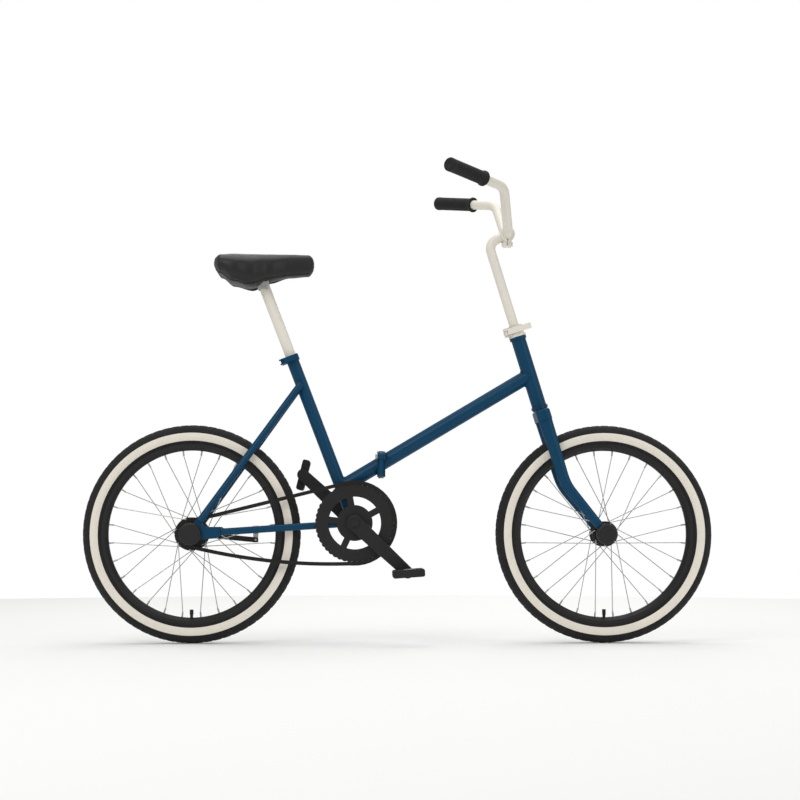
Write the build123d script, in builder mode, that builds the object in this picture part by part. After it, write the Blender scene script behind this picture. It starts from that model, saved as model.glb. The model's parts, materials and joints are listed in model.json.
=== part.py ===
"""Folding bicycle with a single mid-frame hinge, 20 inch wheels and a coaster-brake rear hub.

Frame: +X forward, +Y to the rider's left, +Z up, origin on the ground midway between the axles.
All sizes are in millimetres.
"""

from build123d import *
from math import asin, atan2, cos, degrees, pi, radians, sin, sqrt
import os

# --- wheels ------------------------------------------------------------------------------------
WHEEL_RADIUS = 250.0
WHEELBASE = 948.0
TYRE_WIDTH = 47.0
BEAD_RADIUS = 203.0
TYRE_WALL = 3.0
TREAD_THICKNESS = 5.0
INNER_TUBE_RADIUS = 16.7
INNER_TUBE_WALL = 1.2
RIM_WIDTH = 30.0
RIM_WALL = 2.2
RIM_DEPTH = 18.0
RIM_FLANGE = 6.5
SPOKE_COUNT = 28
SPOKE_DIAMETER = 2.0
SPOKE_CROSS_TURN = 2.0
SPOKE_HEAD_SETBACK = 3.5
NIPPLE_REACH = 11.0
FLANGE_THICKNESS = 2.6
VALVE_DIAMETER = 8.0
FRONT_HUB_WIDTH = 100.0
REAR_HUB_WIDTH = 110.0
FRONT_AXLE_DIAMETER = 9.0
REAR_AXLE_DIAMETER = 9.5
FRONT_CAP_DIAMETER = 47.0
REAR_CAP_DIAMETER = 51.0

# --- frame tubes -------------------------------------------------------------------------------
BOTTOM_BRACKET_X = -100.5
BOTTOM_BRACKET_Z = 275.0
SHELL_DIAMETER = 40.0
SHELL_BORE = 34.8
SHELL_WIDTH = 68.0
SEAT_LEAN = 21.0
SEAT_TUBE_LENGTH = 413.0
SEAT_TUBE_DIAMETER = 28.6
SEAT_POST_DIAMETER = 25.4
STAY_DIAMETER = 16.0
STAY_WALL = 1.5
SEAT_STAY_HEIGHT = 344.0
MAIN_TUBE_DIAMETER = 33.4
MAIN_TUBE_WALL = 2.0
MAIN_TUBE_SLOPE = 30.8
MAIN_TUBE_HEIGHT = 435.2
HEAD_LEAN = 17.1
HEAD_TOP_X = 278.9
HEAD_TOP_Z = 699.3
HEAD_TUBE_LENGTH = 161.4
HEAD_TUBE_DIAMETER = 34.0
HEAD_TUBE_BORE = 30.2
DROPOUT_THICKNESS = 5.0
BRIDGE_BOLT_HOLE = 6.0

# --- frame hinge -------------------------------------------------------------------------------
HINGE_X = -39.4
HINGE_Z = 410.0
HINGE_HEIGHT = 58.0
HINGE_PLATE = 9.0
HINGE_HALF_WIDTH = 22.0
HINGE_PIN_Y = 29.0
HINGE_PIN_DIAMETER = 8.0
KNUCKLE_DIAMETER = 16.0
LOCK_BOLT_Y = -32.0
LOCK_BOLT_Z = 428.0
LOCK_EAR = 4.4
LOCK_EAR_RADIUS = 9.5
LOCK_LEVER_LENGTH = 44.0

# --- fork, handlepost and handlebar ------------------------------------------------------------
STEERER_DIAMETER = 25.4
QUILL_DIAMETER = 22.2
BALL_DIAMETER = 4.0
FORK_BEND_RADIUS = 110.0
FORK_BEND_ANGLE = 22.0
BLADE_TOP_Y = 38.0
BLADE_TOP_DEPTH = 32.0
BLADE_TIP_DEPTH = 20.0
BLADE_TOP_WIDTH = 22.0
BLADE_TIP_WIDTH = 13.0
BLADE_WALL = 2.0
CROWN_HEIGHT = 26.0
CROWN_SOCKET = 12.0
POST_TOP = 224.0
POST_INSERT = 90.0
BAR_DIAMETER = 22.2
BAR_CLAMP_X = 253.0
BAR_CLAMP_Z = 944.0
BAR_CLAMP_WIDTH = 42.0
BAR_CLAMP_DIAMETER = 34.0
BAR_BEND = (236.0, 138.0, 1034.0)
BAR_END = (104.0, 282.0, 1061.0)
BAR_BEND_RADII = (45.0, 55.0)
BAR_STRAIGHT = 40.0
GRIP_LENGTH = 124.0
GRIP_DIAMETER = 31.0

# --- drivetrain --------------------------------------------------------------------------------
CHAIN_PITCH = 12.7
CHAIN_LINKS = 90
CHAIN_Y = 42.0
CHAINRING_TEETH = 46
SPROCKET_TEETH = 14
BUSHING_DIAMETER = 5.0
CHAIN_PIN_DIAMETER = 3.0
CHAIN_PLATE = 1.0
CHAIN_PLATE_HEIGHT = 8.4
SPROCKET_THICKNESS = 3.0
CRANK_LENGTH = 165.0
CRANK_ANGLE = -43.0
CRANK_THICKNESS = 13.0
CRANK_INNER_Y = 54.0
PEDAL_LENGTH = 72.0
PEDAL_WIDTH = 90.0
PEDAL_THICKNESS = 18.0
PEDAL_AXLE_DIAMETER = 12.0
RIGHT_PEDAL_TILT = 4.0
LEFT_PEDAL_TILT = 76.0
SPINDLE_DIAMETER = 16.0

# --- saddle ------------------------------------------------------------------------------------
SADDLE_TOP_Z = 895.0
SADDLE_NOSE_X = -195.0
SADDLE_TAIL_X = -426.0
SADDLE_PIVOT = 589.0
SADDLE_RAIL_DIAMETER = 7.0
SADDLE_RAIL_Y = 21.0
POST_BELOW_TOP = 200.0

# --- fits --------------------------------------------------------------------------------------
RUNNING = 0.05
SLIDING = 0.1
BODY_GAP = 0.3
SEAT_GAP = 0.2
PAD_GAP = 0.3

# --- worked-out places -------------------------------------------------------------------------
REAR_AXLE = Vector(-WHEELBASE / 2, 0, WHEEL_RADIUS)
FRONT_AXLE = Vector(WHEELBASE / 2, 0, WHEEL_RADIUS)
BOTTOM_BRACKET = Vector(BOTTOM_BRACKET_X, 0, BOTTOM_BRACKET_Z)
SEAT_UP = Vector(-sin(radians(SEAT_LEAN)), 0, cos(radians(SEAT_LEAN)))
HEAD_TOP = Vector(HEAD_TOP_X, 0, HEAD_TOP_Z)
STEER_UP = Vector(-sin(radians(HEAD_LEAN)), 0, cos(radians(HEAD_LEAN)))
STEER_FORWARD = Vector(cos(radians(HEAD_LEAN)), 0, sin(radians(HEAD_LEAN)))
MAIN_AXIS = Vector(cos(radians(MAIN_TUBE_SLOPE)), 0, sin(radians(MAIN_TUBE_SLOPE)))
MAIN_ORIGIN = Vector(0, 0, MAIN_TUBE_HEIGHT)
SEAT_TOP = BOTTOM_BRACKET + SEAT_UP * SEAT_TUBE_LENGTH
HEAD_BOTTOM = HEAD_TOP - STEER_UP * HEAD_TUBE_LENGTH
LATERAL = Vector(0, 1, 0)
RIM_OUTER = BEAD_RADIUS + RIM_FLANGE
RIM_BOTTOM = RIM_OUTER - RIM_DEPTH

os.makedirs("parts", exist_ok=True)


# --- shared helpers ----------------------------------------------------------------------------
def save(builder, name):
    """Label a finished piece and write its STEP file."""
    builder.part.label = name
    export_step(builder.part, f"parts/{name}.step")


def seat_point(distance):
    """Point on the seat-tube axis, measured up from the bottom bracket."""
    return BOTTOM_BRACKET + SEAT_UP * distance


def steer_point(distance, forward=0.0):
    """Point in the steering plane: distance up from the head tube's top, forward of the axis."""
    return HEAD_TOP + STEER_UP * distance + STEER_FORWARD * forward


def main_point(x):
    """Point on the main tube's axis at the given X."""
    return MAIN_ORIGIN + MAIN_AXIS * (x / MAIN_AXIS.X)


def across(point, y):
    """The point moved to the lateral position y."""
    return Vector(point.X, y, point.Z)


def round_bar(start, end, outer, bore=0.0, mode=Mode.ADD):
    """Round bar or tube from start to end, joined to or cut from the part being made."""
    run = Vector(end) - Vector(start)
    with BuildSketch(Plane(origin=start, z_dir=run)) as profile:
        Circle(outer / 2)
        if bore:
            Circle(bore / 2, mode=Mode.SUBTRACT)
    extrude(profile.sketch, amount=run.length, mode=mode)


def hex_bar(start, end, across_flats, mode=Mode.ADD):
    """Hexagonal bar from start to end."""
    run = Vector(end) - Vector(start)
    with BuildSketch(Plane(origin=start, z_dir=run)) as profile:
        RegularPolygon(radius=across_flats / 2, side_count=6, major_radius=False)
    extrude(profile.sketch, amount=run.length, mode=mode)


def block(low, high, mode=Mode.ADD):
    """Box between two opposite corners, square to the row's axes."""
    with BuildSketch(Plane(origin=(0, 0, low[2]), z_dir=(0, 0, 1))) as profile:
        with Locations(((low[0] + high[0]) / 2, (low[1] + high[1]) / 2)):
            Rectangle(high[0] - low[0], high[1] - low[1])
    extrude(profile.sketch, amount=high[2] - low[2], mode=mode)


def lathe(centre, axis_dir, outline, mode=Mode.ADD):
    """Turn a closed outline of (radius, along) points about an axis through centre."""
    axis_dir = Vector(axis_dir).normalized()
    helper_dir = Vector(0, 0, 1) if abs(axis_dir.Z) < 0.5 else Vector(0, 1, 0)
    side_dir = axis_dir.cross(helper_dir).normalized()
    plane = Plane(origin=centre, x_dir=side_dir, z_dir=side_dir.cross(axis_dir))
    with BuildSketch(plane) as profile:
        with BuildLine():
            Polyline(*outline, close=True)
        make_face()
    revolve(profile.sketch, axis=Axis(centre, axis_dir), mode=mode)


def ball_ring(centre, axis_dir, pitch_radius, count, diameter):
    """Ring of loose bearing balls around an axis."""
    ring = Plane(origin=centre, z_dir=axis_dir)
    for index in range(count):
        turn = radians(360 * index / count)
        place = ring.from_local_coords(Vector(pitch_radius * cos(turn), pitch_radius * sin(turn), 0))
        with Locations(Location(place)):
            Sphere(diameter / 2)


# --- wheels ------------------------------------------------------------------------------------
def rod(start, end, diameter):
    """Free-standing round rod, for groups of many equal pieces."""
    run = Vector(end) - Vector(start)
    return Solid.make_cylinder(diameter / 2, run.length, Plane(origin=start, z_dir=run))


def wheel_point(axle, radius, turn, y):
    """Point of a wheel at a radius, an angle from straight up, and a lateral position."""
    return axle + Vector(radius * sin(turn), y, radius * cos(turn))


def make_tyre(axle, name):
    """Hollow tyre with two bead legs that sit between the rim's flanges."""
    bead_y = RIM_WIDTH / 2 - RIM_WALL - BODY_GAP
    half = TYRE_WIDTH / 2
    waist = BEAD_RADIUS + 8
    belly = WHEEL_RADIUS - half
    rise = (belly + WHEEL_RADIUS) / 2 + 4
    inner_top = WHEEL_RADIUS - TREAD_THICKNESS
    inner_half = half - TYRE_WALL
    with BuildPart() as tyre:
        with BuildSketch(Plane(origin=axle, x_dir=(0, 1, 0), z_dir=(1, 0, 0))):
            with BuildLine():
                Line((bead_y, BEAD_RADIUS), (bead_y, waist))
                ThreePointArc((bead_y, waist), (half - 2, waist + 6), (half, belly))
                ThreePointArc((half, belly), (half * 0.74, rise), (0, WHEEL_RADIUS))
                ThreePointArc((0, WHEEL_RADIUS), (-half * 0.74, rise), (-half, belly))
                ThreePointArc((-half, belly), (2 - half, waist + 6), (-bead_y, waist))
                Line((-bead_y, waist), (-bead_y, BEAD_RADIUS))
                Line((-bead_y, BEAD_RADIUS), (TYRE_WALL - bead_y, BEAD_RADIUS))
                Line((TYRE_WALL - bead_y, BEAD_RADIUS), (TYRE_WALL - bead_y, waist))
                ThreePointArc((TYRE_WALL - bead_y, waist), (4 - inner_half, waist + 6.5), (-inner_half, belly))
                ThreePointArc((-inner_half, belly), (-inner_half * 0.72, rise - 4.5), (0, inner_top))
                ThreePointArc((0, inner_top), (inner_half * 0.72, rise - 4.5), (inner_half, belly))
                ThreePointArc((inner_half, belly), (inner_half - 4, waist + 6.5), (bead_y - TYRE_WALL, waist))
                Line((bead_y - TYRE_WALL, waist), (bead_y - TYRE_WALL, BEAD_RADIUS))
                Line((bead_y - TYRE_WALL, BEAD_RADIUS), (bead_y, BEAD_RADIUS))
            make_face()
        revolve(axis=Axis(axle, (0, 1, 0)))
    save(tyre, name)


def make_rim(axle, name):
    """Single-wall rim with a raised well, hooked flanges, spoke holes and a valve hole."""
    flange_top = RIM_OUTER
    seat = BEAD_RADIUS - BODY_GAP
    half = RIM_WIDTH / 2
    well = half - 7
    bottom = RIM_BOTTOM
    outline = [
        (flange_top, half), (flange_top, half - RIM_WALL), (seat, half - RIM_WALL), (seat, well),
        (bottom + RIM_WALL, well - 4), (bottom + RIM_WALL, 4 - well), (seat, -well),
        (seat, RIM_WALL - half), (flange_top, RIM_WALL - half), (flange_top, -half),
        (seat - 4, -half), (bottom, -5), (bottom, 5), (seat - 4, half),
    ]
    with BuildPart() as rim:
        lathe(axle, LATERAL, outline)
        for index in range(SPOKE_COUNT):
            turn = 2 * pi * (index + 0.5) / SPOKE_COUNT
            start = wheel_point(axle, bottom - 2, turn, 0)
            end = wheel_point(axle, bottom + 8, turn, 0)
            round_bar(start, end, SPOKE_DIAMETER + 2.4, mode=Mode.SUBTRACT)
        start = wheel_point(axle, bottom - 2, pi, 0)
        end = wheel_point(axle, bottom + 8, pi, 0)
        round_bar(start, end, VALVE_DIAMETER + 2 * SEAT_GAP, mode=Mode.SUBTRACT)
    save(rim, name)


def make_inner_tube(axle, name):
    """Inflated inner tube with its valve stem and cap, pointing at the hub from the wheel's foot."""
    minor = INNER_TUBE_RADIUS
    ring_radius = WHEEL_RADIUS - TREAD_THICKNESS - PAD_GAP - minor
    with BuildPart() as inner:
        with BuildSketch(Plane(origin=axle, x_dir=(0, 1, 0), z_dir=(1, 0, 0))):
            with Locations((0, ring_radius)):
                Circle(minor)
                Circle(minor - INNER_TUBE_WALL, mode=Mode.SUBTRACT)
        revolve(axis=Axis(axle, (0, 1, 0)))
        root = wheel_point(axle, ring_radius - minor + INNER_TUBE_WALL / 2, pi, 0)
        neck = wheel_point(axle, ring_radius - minor - 26, pi, 0)
        tip = wheel_point(axle, ring_radius - minor - 38, pi, 0)
        round_bar(root, neck, VALVE_DIAMETER - 1)
        round_bar(neck, tip, VALVE_DIAMETER + 0.6)
    save(inner, name)


def spoke_line(axle, flange_y, flange_radius, index):
    """Head and nipple end of one spoke; every second pair leans the other way."""
    step = 2 * pi / SPOKE_COUNT
    side_sign = 1 if index % 2 else -1
    pair_sign = 1 if (index // 2) % 2 else -1
    turn = (index + 0.5) * step
    hub_turn = turn + pair_sign * SPOKE_CROSS_TURN * 2 * step
    hub_y = side_sign * (flange_y + pair_sign * (SPOKE_DIAMETER + FLANGE_THICKNESS) / 2)
    head = wheel_point(axle, flange_radius - SPOKE_HEAD_SETBACK, hub_turn, hub_y)
    nipple_tip = wheel_point(axle, RIM_BOTTOM - NIPPLE_REACH, turn, side_sign * 1.6)
    return head, nipple_tip, turn


def make_spokes(axle, flange_y, flange_radius, name):
    """Two sets of crossed spokes, each spoke with its nipple in the rim."""
    rim_bottom = RIM_BOTTOM
    pieces = []
    for index in range(SPOKE_COUNT):
        head, nipple_tip, turn = spoke_line(axle, flange_y, flange_radius, index)
        nipple_seat = wheel_point(axle, rim_bottom + RIM_WALL + 0.3, turn, 0)
        nipple_head = wheel_point(axle, rim_bottom + RIM_WALL + 2.6, turn, 0)
        pieces.append(rod(head, nipple_tip, SPOKE_DIAMETER))
        shank = rod(nipple_tip, nipple_seat, SPOKE_DIAMETER + 1.8)
        pieces.append(shank.fuse(rod(nipple_seat, nipple_head, SPOKE_DIAMETER + 3.6)))
    with BuildPart() as spokes:
        add(pieces)
    save(spokes, name)


def make_hub(axle, outline, flange_y, flange_radius, name):
    """Turned hub shell, given as (radius, y) points, with a hole for every spoke."""
    holes = []
    for index in range(SPOKE_COUNT):
        head, nipple_tip, _ = spoke_line(axle, flange_y, flange_radius, index)
        overrun = (head - nipple_tip).normalized()
        holes.append(rod(head + overrun, nipple_tip, SPOKE_DIAMETER + 2 * SLIDING))
    with BuildPart() as hub:
        lathe(axle, LATERAL, outline)
        add(holes, mode=Mode.SUBTRACT)
    save(hub, name)


def mirrored_outline(outer, inner):
    """Closed outline of a symmetric hollow hub from one half's outer and inner (radius, y) points."""
    left_outer = [(radius, -y) for radius, y in reversed(outer)]
    left_inner = [(radius, -y) for radius, y in inner]
    return left_outer + outer + list(reversed(inner)) + left_inner


FRONT_FLANGE_Y = 33.0
FRONT_FLANGE_RADIUS = 29.0
FRONT_BARREL_RADIUS = 14.0
REAR_FLANGE_Y = 29.0
REAR_FLANGE_RADIUS = 38.0
REAR_BARREL_RADIUS = 23.0
HUB_BORE_RADIUS = 11.0
BEARING_BALL = 5.0
BALL_PITCH_RADIUS = 9.3
CUP_RADIUS = BALL_PITCH_RADIUS + BEARING_BALL / 2 + SEAT_GAP
CONE_RADIUS = BALL_PITCH_RADIUS - BEARING_BALL / 2 - SEAT_GAP
NUT_WIDTH = 9.0
WASHER = 2.0

for wheel_axle, wheel_end in ((FRONT_AXLE, "front"), (REAR_AXLE, "rear")):
    make_tyre(wheel_axle, f"{wheel_end}_tyre")
    make_rim(wheel_axle, f"{wheel_end}_rim")
    make_inner_tube(wheel_axle, f"{wheel_end}_inner_tube")
make_spokes(FRONT_AXLE, FRONT_FLANGE_Y, FRONT_FLANGE_RADIUS, "front_spokes")
make_spokes(REAR_AXLE, REAR_FLANGE_Y, REAR_FLANGE_RADIUS, "rear_spokes")

front_in = FRONT_FLANGE_Y - FLANGE_THICKNESS / 2
front_out = FRONT_FLANGE_Y + FLANGE_THICKNESS / 2
front_end = FRONT_HUB_WIDTH / 2 - 6
make_hub(FRONT_AXLE, mirrored_outline(
    [(FRONT_BARREL_RADIUS, 22), (FRONT_BARREL_RADIUS + 2, 29), (FRONT_FLANGE_RADIUS, front_in),
     (FRONT_FLANGE_RADIUS, front_out), (18, front_out), (16, front_end)],
    [(HUB_BORE_RADIUS, 22), (HUB_BORE_RADIUS, 36), (CUP_RADIUS, 36), (CUP_RADIUS, front_end)],
), FRONT_FLANGE_Y, FRONT_FLANGE_RADIUS, "front_hub")
rear_in = REAR_FLANGE_Y - FLANGE_THICKNESS / 2
rear_out = REAR_FLANGE_Y + FLANGE_THICKNESS / 2
rear_end = rear_out + 2.2
make_hub(REAR_AXLE, mirrored_outline(
    [(REAR_BARREL_RADIUS, 18), (REAR_BARREL_RADIUS + 3, 25), (REAR_FLANGE_RADIUS, rear_in),
     (REAR_FLANGE_RADIUS, rear_out), (20, rear_out), (18, rear_end)],
    [(HUB_BORE_RADIUS, 18), (HUB_BORE_RADIUS, 25), (CUP_RADIUS, 25), (CUP_RADIUS, rear_end)],
), REAR_FLANGE_Y, REAR_FLANGE_RADIUS, "rear_hub")


def make_axle(axle, diameter, hub_width, name):
    """Threaded axle with a washer and a hexagon nut outside each fork end or dropout."""
    outer_face = hub_width / 2 + DROPOUT_THICKNESS
    nut_face = outer_face + WASHER + NUT_WIDTH
    reach = nut_face + 3
    bore = diameter + 2 * RUNNING
    with BuildPart() as axle_set:
        round_bar(across(axle, -reach), across(axle, reach), diameter)
        for sign in (-1, 1):
            washer_end = sign * (outer_face + WASHER)
            round_bar(across(axle, sign * outer_face), across(axle, washer_end), 20, bore)
            hex_bar(across(axle, washer_end), across(axle, sign * nut_face), 15)
            round_bar(across(axle, washer_end), across(axle, sign * nut_face), bore, diameter, Mode.SUBTRACT)
    save(axle_set, name)


def make_axle_caps(axle, diameter, hub_width, name):
    """Round plastic caps that snap over the axle nuts."""
    inner = hub_width / 2 + DROPOUT_THICKNESS + WASHER + BODY_GAP
    nut_end = inner + NUT_WIDTH + 3 + BODY_GAP
    face = nut_end + 3
    radius = diameter / 2
    outline = [(9, inner), (radius - 2, inner), (radius, inner + 2), (radius, face - 5), (radius - 1.5, face - 2),
               (radius - 5, face), (0, face), (0, nut_end), (9, nut_end)]
    with BuildPart() as caps:
        lathe(axle, LATERAL, outline)
        lathe(axle, LATERAL, [(r, -y) for r, y in outline])
    save(caps, name)


make_axle(FRONT_AXLE, FRONT_AXLE_DIAMETER, FRONT_HUB_WIDTH, "front_axle")
make_axle(REAR_AXLE, REAR_AXLE_DIAMETER, REAR_HUB_WIDTH, "rear_axle")
make_axle_caps(FRONT_AXLE, FRONT_CAP_DIAMETER, FRONT_HUB_WIDTH, "front_axle_caps")
make_axle_caps(REAR_AXLE, REAR_CAP_DIAMETER, REAR_HUB_WIDTH, "rear_axle_caps")

BRAKE_ARM_Y = 43.0
BRAKE_ARM_THICKNESS = 3.0
front_bore = FRONT_AXLE_DIAMETER / 2 + RUNNING
rear_bore = REAR_AXLE_DIAMETER / 2 + RUNNING
front_face = FRONT_HUB_WIDTH / 2
rear_face = REAR_HUB_WIDTH / 2
front_cone = [(front_bore, 35.5), (CONE_RADIUS, 35.5), (CONE_RADIUS, front_end + 0.5), (8.5, front_end + 0.5),
              (8.5, front_face), (front_bore, front_face)]
with BuildPart() as front_hub_bearings:
    lathe(FRONT_AXLE, LATERAL, front_cone)
    lathe(FRONT_AXLE, LATERAL, [(r, -y) for r, y in front_cone])
    for sign in (-1, 1):
        ball_ring(across(FRONT_AXLE, sign * 39), LATERAL, BALL_PITCH_RADIUS, 9, BEARING_BALL)
save(front_hub_bearings, "front_hub_bearings")

left_cone = [(rear_bore, 24.5), (CONE_RADIUS, 24.5), (CONE_RADIUS, rear_end + 0.5), (9, rear_end + 0.5),
             (9, BRAKE_ARM_Y), (rear_bore, BRAKE_ARM_Y)]
left_spacer = [(rear_bore, BRAKE_ARM_Y + BRAKE_ARM_THICKNESS), (9, BRAKE_ARM_Y + BRAKE_ARM_THICKNESS),
               (9, rear_face), (rear_bore, rear_face)]
DRIVER_END = 46.0
right_cone = [(rear_bore, -24.5), (CONE_RADIUS, -24.5), (CONE_RADIUS, -DRIVER_END - BODY_GAP),
              (9, -DRIVER_END - BODY_GAP), (9, -rear_face), (rear_bore, -rear_face)]
with BuildPart() as rear_hub_bearings:
    lathe(REAR_AXLE, LATERAL, left_cone)
    lathe(REAR_AXLE, LATERAL, left_spacer)
    lathe(REAR_AXLE, LATERAL, right_cone)
    for sign in (-1, 1):
        ball_ring(across(REAR_AXLE, sign * 28), LATERAL, BALL_PITCH_RADIUS, 9, BEARING_BALL)
save(rear_hub_bearings, "rear_hub_bearings")


# --- drivetrain --------------------------------------------------------------------------------
def pitch_radius(teeth):
    """Radius at which the chain's pins lie on a sprocket of this many teeth."""
    return CHAIN_PITCH / 2 / sin(pi / teeth)


def tooth_profile(teeth):
    """Toothed disc whose tips stay just inside the chain's bushings, in the sketch being made."""
    pitch = pitch_radius(teeth)
    Circle(pitch - BUSHING_DIAMETER / 2 - BODY_GAP)
    with PolarLocations(pitch, teeth):
        Circle(4.6, mode=Mode.SUBTRACT)


RING_RADIUS = pitch_radius(CHAINRING_TEETH)
SPROCKET_RADIUS = pitch_radius(SPROCKET_TEETH)


def chain_path():
    """Places of the chain's pins, starting where the upper run leaves the chainring."""
    centres = (REAR_AXLE - BOTTOM_BRACKET).length
    tilt = asin((BOTTOM_BRACKET - REAR_AXLE).Z / centres)
    wrap = asin((RING_RADIUS - SPROCKET_RADIUS) / centres)
    run = sqrt(centres ** 2 - (RING_RADIUS - SPROCKET_RADIUS) ** 2)
    ring_arc = RING_RADIUS * (pi + 2 * wrap)
    sprocket_arc = SPROCKET_RADIUS * (pi - 2 * wrap)
    slack = CHAIN_LINKS * CHAIN_PITCH - run - ring_arc - sprocket_arc - run
    sag = sqrt(3 * run * slack / 8)

    def polar(centre, radius, angle):
        return centre + Vector(cos(angle) * radius, -CHAIN_Y, sin(angle) * radius)

    top = pi / 2 + tilt + wrap
    bottom = -pi / 2 + tilt - wrap
    leave_ring = polar(BOTTOM_BRACKET, RING_RADIUS, top)
    meet_sprocket = polar(REAR_AXLE, SPROCKET_RADIUS, top)
    leave_sprocket = polar(REAR_AXLE, SPROCKET_RADIUS, bottom)
    meet_ring = polar(BOTTOM_BRACKET, RING_RADIUS, bottom)

    def place(distance):
        if distance < run:
            return leave_ring + (meet_sprocket - leave_ring) * (distance / run)
        distance -= run
        if distance < sprocket_arc:
            return polar(REAR_AXLE, SPROCKET_RADIUS, top + distance / SPROCKET_RADIUS)
        distance -= sprocket_arc
        if distance < run + slack:
            share = distance / (run + slack)
            droop = 4 * sag * share * (1 - share)
            return leave_sprocket + (meet_ring - leave_sprocket) * share - Vector(0, 0, droop)
        distance -= run + slack
        return polar(BOTTOM_BRACKET, RING_RADIUS, bottom + distance / RING_RADIUS)

    return [place(index * CHAIN_PITCH) for index in range(CHAIN_LINKS)]


CHAIN_PINS = chain_path()
CHAIN_PLANE = Plane.XZ


def link_sketch(first, offset, height):
    """Side plates of every second link, from the given first link, on one plane."""
    with BuildSketch(CHAIN_PLANE.offset(offset)) as plates:
        for index in range(first, CHAIN_LINKS, 2):
            start = CHAIN_PINS[index]
            end = CHAIN_PINS[(index + 1) % CHAIN_LINKS]
            run = end - start
            middle = (start + end) * 0.5
            with Locations(Location((middle.X, middle.Z, 0), (0, 0, degrees(atan2(run.Z, run.X))))):
                SlotCenterToCenter(run.length, height)
    return plates.sketch


def pin_sketch(offset, diameter, bore=0.0):
    """Round pins or bushings at every place along the chain, on one plane."""
    with BuildSketch(CHAIN_PLANE.offset(offset)) as pins:
        with Locations(*[(point.X, point.Z) for point in CHAIN_PINS]):
            Circle(diameter / 2)
        if bore:
            with Locations(*[(point.X, point.Z) for point in CHAIN_PINS]):
                Circle(bore / 2, mode=Mode.SUBTRACT)
    return pins.sketch


INNER_PLATE_Y = 2.4
OUTER_PLATE_Y = INNER_PLATE_Y + CHAIN_PLATE + 0.1
CHAIN_HALF_WIDTH = OUTER_PLATE_Y + CHAIN_PLATE + 0.5
bushing_bore = CHAIN_PIN_DIAMETER + 2 * RUNNING
with BuildPart() as chain_inner_links:
    extrude(link_sketch(0, CHAIN_Y + INNER_PLATE_Y, CHAIN_PLATE_HEIGHT), amount=CHAIN_PLATE)
    extrude(link_sketch(0, CHAIN_Y - INNER_PLATE_Y, CHAIN_PLATE_HEIGHT), amount=-CHAIN_PLATE)
    extrude(pin_sketch(CHAIN_Y - INNER_PLATE_Y, BUSHING_DIAMETER), amount=2 * INNER_PLATE_Y)
    bores = pin_sketch(CHAIN_Y - OUTER_PLATE_Y, bushing_bore)
    extrude(bores, amount=2 * OUTER_PLATE_Y, mode=Mode.SUBTRACT)
save(chain_inner_links, "chain_inner_links")

with BuildPart() as chain_outer_links:
    extrude(link_sketch(1, CHAIN_Y + OUTER_PLATE_Y, CHAIN_PLATE_HEIGHT), amount=CHAIN_PLATE)
    extrude(link_sketch(1, CHAIN_Y - OUTER_PLATE_Y, CHAIN_PLATE_HEIGHT), amount=-CHAIN_PLATE)
    extrude(pin_sketch(CHAIN_Y - CHAIN_HALF_WIDTH, CHAIN_PIN_DIAMETER), amount=2 * CHAIN_HALF_WIDTH)
save(chain_outer_links, "chain_outer_links")

with BuildPart() as sprocket:
    with BuildSketch(CHAIN_PLANE.offset(CHAIN_Y - SPROCKET_THICKNESS / 2)) as sprocket_teeth:
        with Locations((REAR_AXLE.X, REAR_AXLE.Z)):
            Circle(SPROCKET_RADIUS - BUSHING_DIAMETER / 2 - BODY_GAP)
            with PolarLocations(SPROCKET_RADIUS, SPROCKET_TEETH):
                Circle(4.6, mode=Mode.SUBTRACT)
    extrude(amount=SPROCKET_THICKNESS)
    round_bar(across(REAR_AXLE, -rear_end - 0.5), across(REAR_AXLE, -DRIVER_END), 32)
    bore_start = across(REAR_AXLE, -rear_end + 1)
    round_bar(bore_start, across(REAR_AXLE, -DRIVER_END - 1), 2 * (CONE_RADIUS + RUNNING), mode=Mode.SUBTRACT)
save(sprocket, "sprocket")

CRANK_WINDOW_INNER = 41.0
CRANK_WINDOW_OUTER = 60.0
RING_ARM_WIDTH = 15.0
RING_ARMS = 5
ring_origin = across(BOTTOM_BRACKET, -CHAIN_Y + SPROCKET_THICKNESS / 2)
ring_plane = Plane(origin=ring_origin, x_dir=(1, 0, 0), z_dir=(0, -1, 0))
with BuildPart() as chainring:
    with BuildSketch(ring_plane):
        tooth_profile(CHAINRING_TEETH)
        Circle(CRANK_WINDOW_OUTER, mode=Mode.SUBTRACT)
        Circle(CRANK_WINDOW_INNER)
        reach = (CRANK_WINDOW_OUTER + CRANK_WINDOW_INNER) / 2
        with PolarLocations(reach, RING_ARMS, start_angle=CRANK_ANGLE):
            Rectangle(CRANK_WINDOW_OUTER - CRANK_WINDOW_INNER + 4, RING_ARM_WIDTH)
        Circle(SPINDLE_DIAMETER / 2 + RUNNING, mode=Mode.SUBTRACT)
    extrude(amount=SPROCKET_THICKNESS)
save(chainring, "chainring")

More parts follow.
